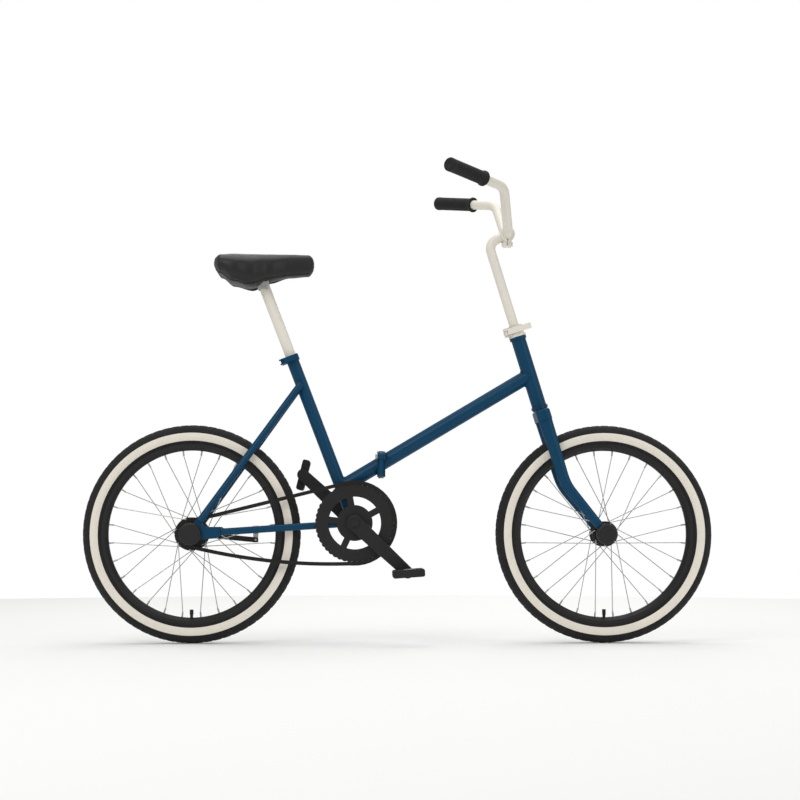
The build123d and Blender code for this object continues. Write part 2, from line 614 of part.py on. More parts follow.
CRANK_EYE_RADIUS = 18.0
PEDAL_EYE_RADIUS = 13.5
SPINDLE_STUB = 12.0
crank_dir = Vector(cos(radians(CRANK_ANGLE)), 0, sin(radians(CRANK_ANGLE)))
RIGHT_PEDAL = BOTTOM_BRACKET + crank_dir * CRANK_LENGTH
LEFT_PEDAL = BOTTOM_BRACKET - crank_dir * CRANK_LENGTH
CRANK_OUTER_Y = CRANK_INNER_Y + CRANK_THICKNESS
with BuildPart() as crank_arms:
    for sign, pedal_place in ((-1, RIGHT_PEDAL), (1, LEFT_PEDAL)):
        arm_dir = pedal_place - BOTTOM_BRACKET
        arm_plane = Plane(origin=across(BOTTOM_BRACKET, sign * CRANK_INNER_Y), x_dir=arm_dir, z_dir=(0, sign, 0))
        with BuildSketch(arm_plane):
            with BuildLine():
                lean = asin((CRANK_EYE_RADIUS - PEDAL_EYE_RADIUS) / CRANK_LENGTH)
                eye = CenterArc((0, 0), CRANK_EYE_RADIUS, 90 - degrees(lean), 180 + 2 * degrees(lean))
                tip = CenterArc((CRANK_LENGTH, 0), PEDAL_EYE_RADIUS, degrees(lean) - 90, 180 - 2 * degrees(lean))
                Line(eye @ 1, tip @ 0)
                Line(tip @ 1, eye @ 0)
            make_face()
        extrude(amount=CRANK_THICKNESS)
        inner = across(BOTTOM_BRACKET, sign * (CRANK_INNER_Y - 2))
        outer = across(BOTTOM_BRACKET, sign * (CRANK_OUTER_Y + 1))
        if sign < 0:
            boss_end = across(BOTTOM_BRACKET, -CHAIN_Y - SPROCKET_THICKNESS / 2)
            round_bar(across(BOTTOM_BRACKET, -CRANK_INNER_Y), boss_end, 2 * CRANK_EYE_RADIUS)
            spindle_end = across(BOTTOM_BRACKET, -CRANK_INNER_Y)
            round_bar(boss_end, spindle_end, SPINDLE_DIAMETER + 2 * RUNNING, mode=Mode.SUBTRACT)
        round_bar(inner, outer, SPINDLE_STUB + 2 * RUNNING, mode=Mode.SUBTRACT)
        thread_start = across(pedal_place, sign * (CRANK_INNER_Y - 1))
        thread_end = across(pedal_place, sign * (CRANK_OUTER_Y + 1))
        round_bar(thread_start, thread_end, PEDAL_AXLE_DIAMETER + 2 * RUNNING, mode=Mode.SUBTRACT)
    outer_faces = crank_arms.faces().filter_by(Axis.Y).sort_by(Axis.Y)
    rims = ShapeList([outer_faces[0].outer_wire(), outer_faces[-1].outer_wire()])
    fillet(ShapeList([edge for rim in rims for edge in rim.edges()]), 3)
save(crank_arms, "crank_arms")

with BuildPart() as bottom_bracket_spindle:
    round_bar(across(BOTTOM_BRACKET, -CRANK_INNER_Y), across(BOTTOM_BRACKET, CRANK_INNER_Y), SPINDLE_DIAMETER)
    for sign in (-1, 1):
        stub_end = across(BOTTOM_BRACKET, sign * (CRANK_OUTER_Y - 3))
        round_bar(across(BOTTOM_BRACKET, sign * CRANK_INNER_Y), stub_end, SPINDLE_STUB)
with BuildPart() as crank_bolts:
    for sign in (-1, 1):
        stub_end = across(BOTTOM_BRACKET, sign * (CRANK_OUTER_Y - 3))
        head_start = across(BOTTOM_BRACKET, sign * CRANK_OUTER_Y)
        head_end = across(BOTTOM_BRACKET, sign * (CRANK_OUTER_Y + 4))
        round_bar(stub_end, head_start, SPINDLE_STUB)
        round_bar(head_start, head_end, 20)
save(bottom_bracket_spindle, "bottom_bracket_spindle")
save(crank_bolts, "crank_bolts")

PEDAL_GAP = 2.0
PEDAL_FLANGE = 3.0
PEDAL_SHAFT = 9.0
PEDAL_START_Y = CRANK_OUTER_Y + PEDAL_FLANGE + PEDAL_GAP
with BuildPart() as pedal_axles:
    for sign, place in ((-1, RIGHT_PEDAL), (1, LEFT_PEDAL)):
        flange_end = across(place, sign * (CRANK_OUTER_Y + PEDAL_FLANGE))
        round_bar(across(place, sign * CRANK_INNER_Y), across(place, sign * CRANK_OUTER_Y), PEDAL_AXLE_DIAMETER)
        round_bar(across(place, sign * CRANK_OUTER_Y), flange_end, 17)
        round_bar(flange_end, across(place, sign * (PEDAL_START_Y + PEDAL_WIDTH - 8)), PEDAL_SHAFT)
save(pedal_axles, "pedal_axles")


def make_pedal(place, sign, tilt, name):
    """Platform pedal: a rounded tray with a centre barrel and two foot-grip windows each side of it."""
    tread_dir = Vector(cos(radians(tilt)), 0, sin(radians(tilt)))
    end_plane = Plane(origin=across(place, sign * PEDAL_START_Y), x_dir=tread_dir, z_dir=(0, sign, 0))
    up_dir = tread_dir.cross(LATERAL)
    with BuildPart() as pedal:
        with BuildSketch(end_plane):
            RectangleRounded(PEDAL_LENGTH, PEDAL_THICKNESS, 5)
        extrude(amount=PEDAL_WIDTH)
        middle = across(place, sign * (PEDAL_START_Y + PEDAL_WIDTH / 2))
        with BuildSketch(Plane(origin=middle - up_dir * PEDAL_THICKNESS, x_dir=tread_dir, z_dir=up_dir)):
            with GridLocations(42, 38, 2, 2):
                RectangleRounded(18, 30, 3)
        extrude(amount=2 * PEDAL_THICKNESS, mode=Mode.SUBTRACT)
        start = across(place, sign * (PEDAL_START_Y - 1))
        end = across(place, sign * (PEDAL_START_Y + PEDAL_WIDTH - 6))
        round_bar(start, end, PEDAL_SHAFT + 2 * RUNNING, mode=Mode.SUBTRACT)
    save(pedal, name)


make_pedal(RIGHT_PEDAL, -1, RIGHT_PEDAL_TILT, "pedal_right")
make_pedal(LEFT_PEDAL, 1, LEFT_PEDAL_TILT, "pedal_left")

# --- rear frame --------------------------------------------------------------------------------
SHELL_START = across(BOTTOM_BRACKET, -SHELL_WIDTH / 2)
SHELL_END = across(BOTTOM_BRACKET, SHELL_WIDTH / 2)
with BuildPart() as bottom_bracket_shell:
    round_bar(SHELL_START, SHELL_END, SHELL_DIAMETER, SHELL_BORE)
save(bottom_bracket_shell, "bottom_bracket_shell")

CUP_FLANGE = 3.5
BRACKET_BALL = 6.0
bracket_ball_pitch = SPINDLE_DIAMETER / 2 + SEAT_GAP + BRACKET_BALL / 2
bracket_cup_bore = 2 * (bracket_ball_pitch + BRACKET_BALL / 2 + SEAT_GAP)
with BuildPart() as bottom_bracket_bearings:
    for sign in (-1, 1):
        inside = across(BOTTOM_BRACKET, sign * (SHELL_WIDTH / 2 - 12))
        face = across(BOTTOM_BRACKET, sign * SHELL_WIDTH / 2)
        outside = across(BOTTOM_BRACKET, sign * (SHELL_WIDTH / 2 + CUP_FLANGE))
        round_bar(inside, face, SHELL_BORE - 2 * RUNNING)
        round_bar(face, outside, SHELL_DIAMETER - 1)
        round_bar(inside, face, bracket_cup_bore, mode=Mode.SUBTRACT)
        round_bar(face, outside, SPINDLE_DIAMETER + 2 * BODY_GAP, mode=Mode.SUBTRACT)
        balls = across(BOTTOM_BRACKET, sign * (SHELL_WIDTH / 2 - SEAT_GAP - BRACKET_BALL / 2))
        ball_ring(balls, LATERAL, bracket_ball_pitch, 11, BRACKET_BALL)
save(bottom_bracket_bearings, "bottom_bracket_bearings")

seat_tube_bore = SEAT_POST_DIAMETER + 2 * SLIDING
CLAMP_SLOT = 2.0
with BuildPart() as seat_tube:
    round_bar(BOTTOM_BRACKET, SEAT_TOP, SEAT_TUBE_DIAMETER, seat_tube_bore)
    round_bar(SHELL_START, SHELL_END, SHELL_DIAMETER, mode=Mode.SUBTRACT)
    slot_start = seat_point(SEAT_TUBE_LENGTH - 30)
    with BuildSketch(Plane(origin=slot_start, x_dir=(0, 1, 0), z_dir=SEAT_UP)):
        with Locations((0, SEAT_TUBE_DIAMETER / 2)):
            Rectangle(CLAMP_SLOT, SEAT_TUBE_DIAMETER)
    extrude(amount=31, mode=Mode.SUBTRACT)
save(seat_tube, "seat_tube")

PLATE_REAR = HINGE_X - BODY_GAP / 2 - HINGE_PLATE
PLATE_FRONT = HINGE_X + BODY_GAP / 2 + HINGE_PLATE


def trim_at(x, keep):
    """Cut the part being made at a plane square to X."""
    split(bisect_by=Plane(origin=(x, 0, 0), z_dir=(1, 0, 0)), keep=keep)


def main_tube_crossing(origin, direction):
    """Point where the main tube's axis crosses a line of the side plane."""
    slope = MAIN_AXIS.Z / MAIN_AXIS.X
    distance = (main_point(origin.X).Z - origin.Z) / (direction.Z - slope * direction.X)
    return origin + direction * distance


MAIN_REAR = main_tube_crossing(BOTTOM_BRACKET, SEAT_UP)
MAIN_FRONT = main_tube_crossing(HEAD_TOP, STEER_UP)
MAIN_BORE = MAIN_TUBE_DIAMETER - 2 * MAIN_TUBE_WALL
with BuildPart() as rear_main_tube:
    round_bar(MAIN_REAR, main_point(HINGE_X), MAIN_TUBE_DIAMETER)
    round_bar(MAIN_REAR + MAIN_AXIS * 24, main_point(HINGE_X), MAIN_BORE, mode=Mode.SUBTRACT)
    round_bar(BOTTOM_BRACKET, SEAT_TOP, SEAT_TUBE_DIAMETER, mode=Mode.SUBTRACT)
    trim_at(PLATE_REAR, Keep.BOTTOM)
save(rear_main_tube, "rear_main_tube")

STAY_START_Y = 22.0
STAY_END_Y = 57.5
STAY_FRONT = BOTTOM_BRACKET + Vector(-17.5, 0, -1.2)
STAY_REAR = REAR_AXLE + Vector(70, 0, 4.7)
SEAT_STAY_TOP_Y = 17.0
SEAT_STAY_TOP = seat_point(SEAT_STAY_HEIGHT)
seat_stay_dir = (SEAT_STAY_TOP - REAR_AXLE).normalized()
SEAT_STAY_FOOT = REAR_AXLE + seat_stay_dir * 36


def stay_y(point, start, end, start_y, end_y):
    """Lateral place of a stay where its side view passes the point."""
    return start_y + (end_y - start_y) * (point - start).length / (end - start).length


with BuildPart() as chain_stays:
    stay_bore = STAY_DIAMETER - 2 * STAY_WALL
    round_bar(across(STAY_FRONT, STAY_START_Y), across(STAY_REAR, STAY_END_Y), STAY_DIAMETER, stay_bore)
    round_bar(SHELL_START, SHELL_END, SHELL_DIAMETER, mode=Mode.SUBTRACT)
    mirror(about=Plane.XZ)
save(chain_stays, "chain_stays")

with BuildPart() as seat_stays:
    round_bar(across(SEAT_STAY_FOOT, STAY_END_Y), across(SEAT_STAY_TOP, SEAT_STAY_TOP_Y), STAY_DIAMETER)
    hollow_top = SEAT_STAY_TOP - seat_stay_dir * 30
    hollow_top_y = stay_y(hollow_top, SEAT_STAY_FOOT, SEAT_STAY_TOP, STAY_END_Y, SEAT_STAY_TOP_Y)
    foot = across(SEAT_STAY_FOOT, STAY_END_Y)
    round_bar(foot, across(hollow_top, hollow_top_y), stay_bore, mode=Mode.SUBTRACT)
    round_bar(BOTTOM_BRACKET, SEAT_TOP, SEAT_TUBE_DIAMETER, mode=Mode.SUBTRACT)
    mirror(about=Plane.XZ)
save(seat_stays, "seat_stays")

DROPOUT_RADIUS = 15.0
DROPOUT_RISE = 16.0
rear_plate_origin = across(REAR_AXLE, REAR_HUB_WIDTH / 2 + DROPOUT_THICKNESS)
rear_plate = Plane(origin=rear_plate_origin, x_dir=(1, 0, 0), z_dir=(0, -1, 0))
with BuildPart() as rear_dropouts:
    with BuildSketch(rear_plate):
        Circle(DROPOUT_RADIUS)
        with BuildLine():
            foot = seat_stay_dir * 36
            half = Vector(-seat_stay_dir.Z, 0, seat_stay_dir.X) * (STAY_DIAMETER / 2)
            nose = STAY_REAR - REAR_AXLE
            Polyline((foot.X + half.X, foot.Z + half.Z), (foot.X - half.X, foot.Z - half.Z), (34, DROPOUT_RISE),
                     (nose.X - 6, DROPOUT_RISE), (nose.X, nose.Z + STAY_DIAMETER / 2),
                     (nose.X, nose.Z - STAY_DIAMETER / 2), (nose.X - 12, -DROPOUT_RISE + 6),
                     (0, -DROPOUT_RADIUS), (-DROPOUT_RADIUS, 0), close=True)
        make_face()
        Circle(REAR_AXLE_DIAMETER / 2 + RUNNING, mode=Mode.SUBTRACT)
    extrude(amount=DROPOUT_THICKNESS)
    mirror(about=Plane.XZ)
save(rear_dropouts, "rear_dropouts")

SEAT_BRIDGE_RADIUS = 280.0
BRIDGE_DIAMETER = 12.0
BRIDGE_BOSS = 14.0
CHAIN_BRIDGE_X = -178.0
seat_bridge = REAR_AXLE + seat_stay_dir * SEAT_BRIDGE_RADIUS
bridge_out = Vector(-seat_stay_dir.Z, 0, seat_stay_dir.X)
bridge_share = (CHAIN_BRIDGE_X - STAY_FRONT.X) / (STAY_REAR.X - STAY_FRONT.X)
chain_bridge = STAY_FRONT + (STAY_REAR - STAY_FRONT) * bridge_share
with BuildPart() as stay_bridges:
    seat_bridge_y = stay_y(seat_bridge, SEAT_STAY_FOOT, SEAT_STAY_TOP, STAY_END_Y, SEAT_STAY_TOP_Y)
    chain_bridge_y = stay_y(chain_bridge, STAY_FRONT, STAY_REAR, STAY_START_Y, STAY_END_Y)
    round_bar(across(seat_bridge, -seat_bridge_y), across(seat_bridge, seat_bridge_y), BRIDGE_DIAMETER)
    boss_start = seat_bridge - bridge_out * (BRIDGE_BOSS / 2)
    boss_end = seat_bridge + bridge_out * (BRIDGE_BOSS / 2)
    round_bar(boss_start, boss_end, BRIDGE_BOSS)
    round_bar(boss_start, boss_end, BRIDGE_BOLT_HOLE, mode=Mode.SUBTRACT)
    round_bar(across(chain_bridge, -chain_bridge_y), across(chain_bridge, chain_bridge_y), BRIDGE_DIAMETER)
    for sign in (-1, 1):
        stay_foot = across(SEAT_STAY_FOOT, sign * STAY_END_Y)
        round_bar(stay_foot, across(SEAT_STAY_TOP, sign * SEAT_STAY_TOP_Y), STAY_DIAMETER, mode=Mode.SUBTRACT)
        stay_nose = across(STAY_FRONT, sign * STAY_START_Y)
        round_bar(stay_nose, across(STAY_REAR, sign * STAY_END_Y), STAY_DIAMETER, mode=Mode.SUBTRACT)
save(stay_bridges, "stay_bridges")

# --- coaster brake arm -------------------------------------------------------------------------
ARM_END = REAR_AXLE + Vector(144, 0, -14)
ARM_HALF_WIDTH = 6.0
CLIP_WIDTH = 12.0
STRAP = 1.6
clip_share = (ARM_END.X - STAY_FRONT.X) / (STAY_REAR.X - STAY_FRONT.X)
clip_on_stay = STAY_FRONT + (STAY_REAR - STAY_FRONT) * clip_share
clip_y = stay_y(clip_on_stay, STAY_FRONT, STAY_REAR, STAY_START_Y, STAY_END_Y)
stay_dir = (across(STAY_REAR, STAY_END_Y) - across(STAY_FRONT, STAY_START_Y)).normalized()
arm_outside = BRAKE_ARM_Y + BRAKE_ARM_THICKNESS
arm_plane = Plane(origin=across(REAR_AXLE, arm_outside), x_dir=ARM_END - REAR_AXLE, z_dir=(0, -1, 0))
arm_length = (ARM_END - REAR_AXLE).length
with BuildPart() as brake_arm:
    with BuildSketch(arm_plane):
        Circle(16)
        with Locations((arm_length / 2, 0)):
            SlotCenterToCenter(arm_length, 2 * ARM_HALF_WIDTH)
        Circle(rear_bore, mode=Mode.SUBTRACT)
        with Locations((arm_length, 0)):
            Circle(2.6, mode=Mode.SUBTRACT)
    extrude(amount=BRAKE_ARM_THICKNESS)
save(brake_arm, "brake_arm")

with BuildPart() as brake_arm_clip:
    clip_centre = across(clip_on_stay, clip_y)
    ring_start = clip_centre - stay_dir * (CLIP_WIDTH / 2)
    ring_end = clip_centre + stay_dir * (CLIP_WIDTH / 2)
    tab_low = (ARM_END.X - CLIP_WIDTH / 2, arm_outside, ARM_END.Z - 6)
    block(tab_low, (ARM_END.X + CLIP_WIDTH / 2, arm_outside + STRAP, clip_on_stay.Z - 4))
    round_bar(ring_start, ring_end, STAY_DIAMETER + 2 * STRAP)
    round_bar(across(STAY_FRONT, STAY_START_Y), across(STAY_REAR, STAY_END_Y), STAY_DIAMETER, mode=Mode.SUBTRACT)
    bolt_start = across(ARM_END, BRAKE_ARM_Y)
    round_bar(bolt_start, across(ARM_END, arm_outside + STRAP), 5)
    round_bar(across(ARM_END, arm_outside + STRAP), across(ARM_END, arm_outside + STRAP + 3), 9)
save(brake_arm_clip, "brake_arm_clip")

# --- main frame hinge --------------------------------------------------------------------------
HINGE_LOW = HINGE_Z - HINGE_HEIGHT / 2
HINGE_HIGH = HINGE_Z + HINGE_HEIGHT / 2
KNUCKLE_HALF = 9.5
PIN_PLACE = Vector(HINGE_X, HINGE_PIN_Y, 0)
LOCK_PLACE = Vector(0, LOCK_BOLT_Y, LOCK_BOLT_Z)


def knuckle(low, high, diameter, mode=Mode.ADD):
    """Round stretch about the hinge pin between two heights."""
    round_bar(PIN_PLACE + Vector(0, 0, low), PIN_PLACE + Vector(0, 0, high), diameter, mode=mode)


def lock_disc(start_x, end_x, diameter, mode=Mode.ADD):
    """Round stretch about the lock bolt between two X values."""
    round_bar(LOCK_PLACE + Vector(start_x, 0, 0), LOCK_PLACE + Vector(end_x, 0, 0), diameter, mode=mode)


def hinge_half(inner_x, outer_x, knuckles, clearances):
    """One hinge plate with its knuckles and lock ear; the builder around it cuts the bores."""
    low_x, high_x = min(inner_x, outer_x), max(inner_x, outer_x)
    ear_x = outer_x + LOCK_EAR * (1 if inner_x > outer_x else -1)
    block((low_x, -HINGE_HALF_WIDTH, HINGE_LOW), (high_x, HINGE_PIN_Y - 3, HINGE_HIGH))
    ear_low, ear_high = min(ear_x, outer_x), max(ear_x, outer_x)
    block((ear_low, LOCK_BOLT_Y, LOCK_BOLT_Z - LOCK_EAR_RADIUS),
          (ear_high, -HINGE_HALF_WIDTH + 2, LOCK_BOLT_Z + LOCK_EAR_RADIUS))
    lock_disc(ear_low, ear_high, 2 * LOCK_EAR_RADIUS)
    for low, high in clearances:
        knuckle(low - BODY_GAP, high + BODY_GAP, KNUCKLE_DIAMETER + 4 * BODY_GAP, Mode.SUBTRACT)
    for low, high in knuckles:
        knuckle(low, high, KNUCKLE_DIAMETER)
    knuckle(HINGE_LOW - 1, HINGE_HIGH + 1, HINGE_PIN_DIAMETER + 2 * RUNNING, Mode.SUBTRACT)


middle_knuckle = [(HINGE_Z - KNUCKLE_HALF, HINGE_Z + KNUCKLE_HALF)]
outer_knuckles = [(HINGE_LOW, HINGE_Z - KNUCKLE_HALF - BODY_GAP), (HINGE_Z + KNUCKLE_HALF + BODY_GAP, HINGE_HIGH)]
with BuildPart() as rear_hinge_plate:
    hinge_half(HINGE_X - BODY_GAP / 2, PLATE_REAR, outer_knuckles, middle_knuckle)
    lock_disc(PLATE_REAR - 1, HINGE_X, HINGE_PIN_DIAMETER + 2 * RUNNING, Mode.SUBTRACT)
save(rear_hinge_plate, "rear_hinge_plate")

LOCK_TIP_CLEARANCE = 1.2
with BuildPart() as front_hinge_plate:
    hinge_half(HINGE_X + BODY_GAP / 2, PLATE_FRONT, middle_knuckle, outer_knuckles)
    lock_disc(HINGE_X, PLATE_FRONT + 1, HINGE_PIN_DIAMETER + 2 * LOCK_TIP_CLEARANCE, Mode.SUBTRACT)
save(front_hinge_plate, "front_hinge_plate")

with BuildPart() as hinge_pin:
    knuckle(HINGE_LOW, HINGE_HIGH, HINGE_PIN_DIAMETER)
    knuckle(HINGE_LOW - 2.5, HINGE_LOW, 13)
    knuckle(HINGE_HIGH, HINGE_HIGH + 2.5, 13)
save(hinge_pin, "hinge_pin")

lever_low_x = PLATE_REAR + LOCK_EAR + BODY_GAP
lever_high_x = PLATE_FRONT - LOCK_EAR - BODY_GAP
with BuildPart() as fold_lock_bolt:
    lock_disc(PLATE_REAR - 5, PLATE_REAR, 14)
    lock_disc(PLATE_REAR, PLATE_FRONT, HINGE_PIN_DIAMETER)
save(fold_lock_bolt, "fold_lock_bolt")

LEVER_EYE_RADIUS = 8.7
with BuildPart() as fold_lock_lever:
    with BuildSketch(Plane(origin=(lever_low_x, LOCK_BOLT_Y, LOCK_BOLT_Z), x_dir=(0, 1, 0), z_dir=(1, 0, 0))):
        Circle(LEVER_EYE_RADIUS)
        with Locations((0.5, -LOCK_LEVER_LENGTH / 2)):
            SlotCenterToCenter(LOCK_LEVER_LENGTH - 8, 8, rotation=90)
        Circle(HINGE_PIN_DIAMETER / 2 + RUNNING, mode=Mode.SUBTRACT)
    extrude(amount=lever_high_x - lever_low_x)
save(fold_lock_lever, "fold_lock_lever")

with BuildPart() as front_main_tube:
    round_bar(main_point(HINGE_X), MAIN_FRONT, MAIN_TUBE_DIAMETER)
    round_bar(main_point(HINGE_X), MAIN_FRONT - MAIN_AXIS * 26, MAIN_BORE, mode=Mode.SUBTRACT)
    round_bar(HEAD_BOTTOM - STEER_UP * 9, HEAD_TOP + STEER_UP * 9, HEAD_TUBE_DIAMETER, mode=Mode.SUBTRACT)
    trim_at(PLATE_FRONT, Keep.TOP)
save(front_main_tube, "front_main_tube")

# --- head tube, headset and fork ---------------------------------------------------------------
with BuildPart() as head_tube:
    round_bar(HEAD_BOTTOM, HEAD_TOP, HEAD_TUBE_DIAMETER, HEAD_TUBE_BORE)
save(head_tube, "head_tube")

CUP_FLOOR = 2.5
HEADSET_BALL_PITCH = 15.3
HEADSET_HEIGHT = CUP_FLOOR + 2 * SEAT_GAP + BALL_DIAMETER
cup_skirt = HEAD_TUBE_BORE / 2 - RUNNING
cup_wall = HEADSET_BALL_PITCH + BALL_DIAMETER / 2 + SEAT_GAP
cup_outline = [(13.4, -8), (cup_skirt, -8), (cup_skirt, 0), (cup_wall + 2, 0),
               (cup_wall + 2, HEADSET_HEIGHT - BODY_GAP),
               (cup_wall, HEADSET_HEIGHT - BODY_GAP), (cup_wall, CUP_FLOOR), (13.4, CUP_FLOOR)]
with BuildPart() as headset_bearings:
    for seat, outward in ((HEAD_TOP, STEER_UP), (HEAD_BOTTOM, -STEER_UP)):
        lathe(seat, outward, cup_outline)
        balls = seat + outward * (CUP_FLOOR + SEAT_GAP + BALL_DIAMETER / 2)
        ball_ring(balls, outward, HEADSET_BALL_PITCH, 20, BALL_DIAMETER)
save(headset_bearings, "headset_bearings")

LOCKNUT_HEIGHT = 6.3
CLAMP_HEIGHT = 20.0
STEERER_TOP = HEADSET_HEIGHT + LOCKNUT_HEIGHT + CLAMP_HEIGHT + 1
steerer_bore = QUILL_DIAMETER + 2 * SLIDING
steerer_seat = STEERER_DIAMETER + 2 * RUNNING
RACE_HEIGHT = 3.0
crown_top = HEAD_TUBE_LENGTH + HEADSET_HEIGHT
crown_bottom = crown_top + RACE_HEIGHT + CROWN_HEIGHT
steerer_foot = crown_top + RACE_HEIGHT + CROWN_SOCKET
with BuildPart() as fork_steerer:
    round_bar(steer_point(-steerer_foot), steer_point(STEERER_TOP), STEERER_DIAMETER, steerer_bore)
    with BuildSketch(Plane(origin=steer_point(HEADSET_HEIGHT + LOCKNUT_HEIGHT), x_dir=(0, 1, 0), z_dir=STEER_UP)):
        with Locations((0, STEERER_DIAMETER / 2)):
            Rectangle(CLAMP_SLOT, STEERER_DIAMETER)
    extrude(amount=CLAMP_HEIGHT + 2, mode=Mode.SUBTRACT)
save(fork_steerer, "fork_steerer")

with BuildPart() as headset_locknut:
    hex_bar(steer_point(HEADSET_HEIGHT), steer_point(HEADSET_HEIGHT + LOCKNUT_HEIGHT), 36)
    locknut_bottom = steer_point(HEADSET_HEIGHT - 1)
    round_bar(locknut_bottom, steer_point(HEADSET_HEIGHT + LOCKNUT_HEIGHT + 1), steerer_seat, mode=Mode.SUBTRACT)
save(headset_locknut, "headset_locknut")

CROWN_DEPTH = 34.0
CROWN_HALF_WIDTH = BLADE_TOP_Y + BLADE_TOP_WIDTH / 2 + 2
with BuildPart() as fork_crown:
    with BuildSketch(Plane(origin=steer_point(-crown_top - RACE_HEIGHT), x_dir=(0, 1, 0), z_dir=-STEER_UP)):
        RectangleRounded(2 * CROWN_HALF_WIDTH, CROWN_DEPTH, 12)
    extrude(amount=CROWN_HEIGHT)
    fillet(fork_crown.faces().sort_by(Axis.Z)[-1].edges(), 5)
    round_bar(steer_point(-crown_top), steer_point(-crown_top - RACE_HEIGHT), 2 * cup_wall)
    round_bar(steer_point(-crown_top + 1), steer_point(-steerer_foot), steerer_seat, mode=Mode.SUBTRACT)
    hole_level = -crown_bottom + (CROWN_HEIGHT - CROWN_SOCKET) / 2
    hole_start = steer_point(hole_level, -CROWN_DEPTH)
    round_bar(hole_start, steer_point(hole_level, CROWN_DEPTH), BRIDGE_BOLT_HOLE, mode=Mode.SUBTRACT)
save(fork_crown, "fork_crown")

axle_offset = FRONT_AXLE - HEAD_TOP
axle_drop = -axle_offset.dot(STEER_UP)
FORK_RAKE = axle_offset.dot(STEER_FORWARD)
bend = radians(FORK_BEND_ANGLE)
tip_run = (FORK_RAKE - FORK_BEND_RADIUS * (1 - cos(bend))) / sin(bend)
bend_start = axle_drop - FORK_BEND_RADIUS * sin(bend) - tip_run * cos(bend)
TIP_SETBACK = 24.0
straight_run = bend_start - crown_bottom
blade_run = straight_run + FORK_BEND_RADIUS * bend + tip_run - TIP_SETBACK


def blade_place(distance):
    """Centre and heading of a fork blade, in side view, this far down from the crown."""
    if distance <= straight_run:
        return steer_point(-crown_bottom - distance), 0.0
    turned = min((distance - straight_run) / FORK_BEND_RADIUS, bend)
    past = max(distance - straight_run - FORK_BEND_RADIUS * bend, 0)
    drop = bend_start + FORK_BEND_RADIUS * sin(turned) + past * cos(turned)
    forward = FORK_BEND_RADIUS * (1 - cos(turned)) + past * sin(turned)
    return steer_point(-drop, forward), turned


DROPOUT_FACE_Y = FRONT_HUB_WIDTH / 2
BLADE_TIP_Y = DROPOUT_FACE_Y + DROPOUT_THICKNESS / 2
BEND_STEPS = 6
bend_shares = [step / BEND_STEPS for step in range(1, BEND_STEPS + 1)]
blade_stations = [0.0, straight_run]
blade_stations += [straight_run + FORK_BEND_RADIUS * bend * share for share in bend_shares]
blade_stations += [blade_run]
tip_dir = -STEER_UP * cos(bend) + STEER_FORWARD * sin(bend)
with BuildPart() as fork_blades:
    for distance in blade_stations:
        centre, turned = blade_place(distance)
        share = distance / blade_run
        heading = -STEER_UP * cos(turned) + STEER_FORWARD * sin(turned)
        section_y = BLADE_TOP_Y + (BLADE_TIP_Y - BLADE_TOP_Y) * share
        with BuildSketch(Plane(origin=across(centre, section_y), x_dir=(0, 1, 0), z_dir=heading)):
            Ellipse((BLADE_TOP_WIDTH + (BLADE_TIP_WIDTH - BLADE_TOP_WIDTH) * share) / 2,
                    (BLADE_TOP_DEPTH + (BLADE_TIP_DEPTH - BLADE_TOP_DEPTH) * share) / 2)
    loft(ruled=True)
    with BuildSketch(Plane(origin=across(blade_place(0)[0], BLADE_TOP_Y), x_dir=(0, 1, 0), z_dir=-STEER_UP)):
        Ellipse(BLADE_TOP_WIDTH / 2 - BLADE_WALL, BLADE_TOP_DEPTH / 2 - BLADE_WALL)
    hollow_y = BLADE_TOP_Y + (BLADE_TIP_Y - BLADE_TOP_Y) * straight_run / blade_run
    with BuildSketch(Plane(origin=across(blade_place(straight_run)[0], hollow_y), x_dir=(0, 1, 0), z_dir=-STEER_UP)):
        Ellipse(BLADE_TIP_WIDTH / 2 - 0.4, BLADE_TIP_DEPTH / 2)
    loft(ruled=True, mode=Mode.SUBTRACT)
    tab_origin = across(FRONT_AXLE, DROPOUT_FACE_Y + DROPOUT_THICKNESS)
    with BuildSketch(Plane(origin=tab_origin, x_dir=-tip_dir, z_dir=(0, -1, 0))):
        Circle(12.5)
        with Locations((TIP_SETBACK * 0.8, 0)):
            Rectangle(TIP_SETBACK * 1.6, 17)
        Circle(FRONT_AXLE_DIAMETER / 2 + RUNNING, mode=Mode.SUBTRACT)
    extrude(amount=DROPOUT_THICKNESS)
    mirror(about=Plane.XZ)
save(fork_blades, "fork_blades")


# --- quick-release clamps ----------------------------------------------------------------------
EAR_REACH = 9.0
EAR_HALF_WIDTH = 9.0
CAM_RADIUS = 8.0
CAM_HEIGHT = 13.0
CAM_PIN = 5.0
CLAMP_BOLT = 6.0
EYE_HEIGHT = 6.8
LEVER_THICKNESS = 6.0
CAM_Y = -(EAR_HALF_WIDTH + BODY_GAP + CAM_RADIUS)


def clamp_bolt_place(origin, up, outer, height):
    """Centre of the clamp's cross bolt, behind the ring at half its height."""
    forward = LATERAL.cross(up)
    return origin + up * (height / 2) - forward * (outer / 2 + EAR_REACH / 2)


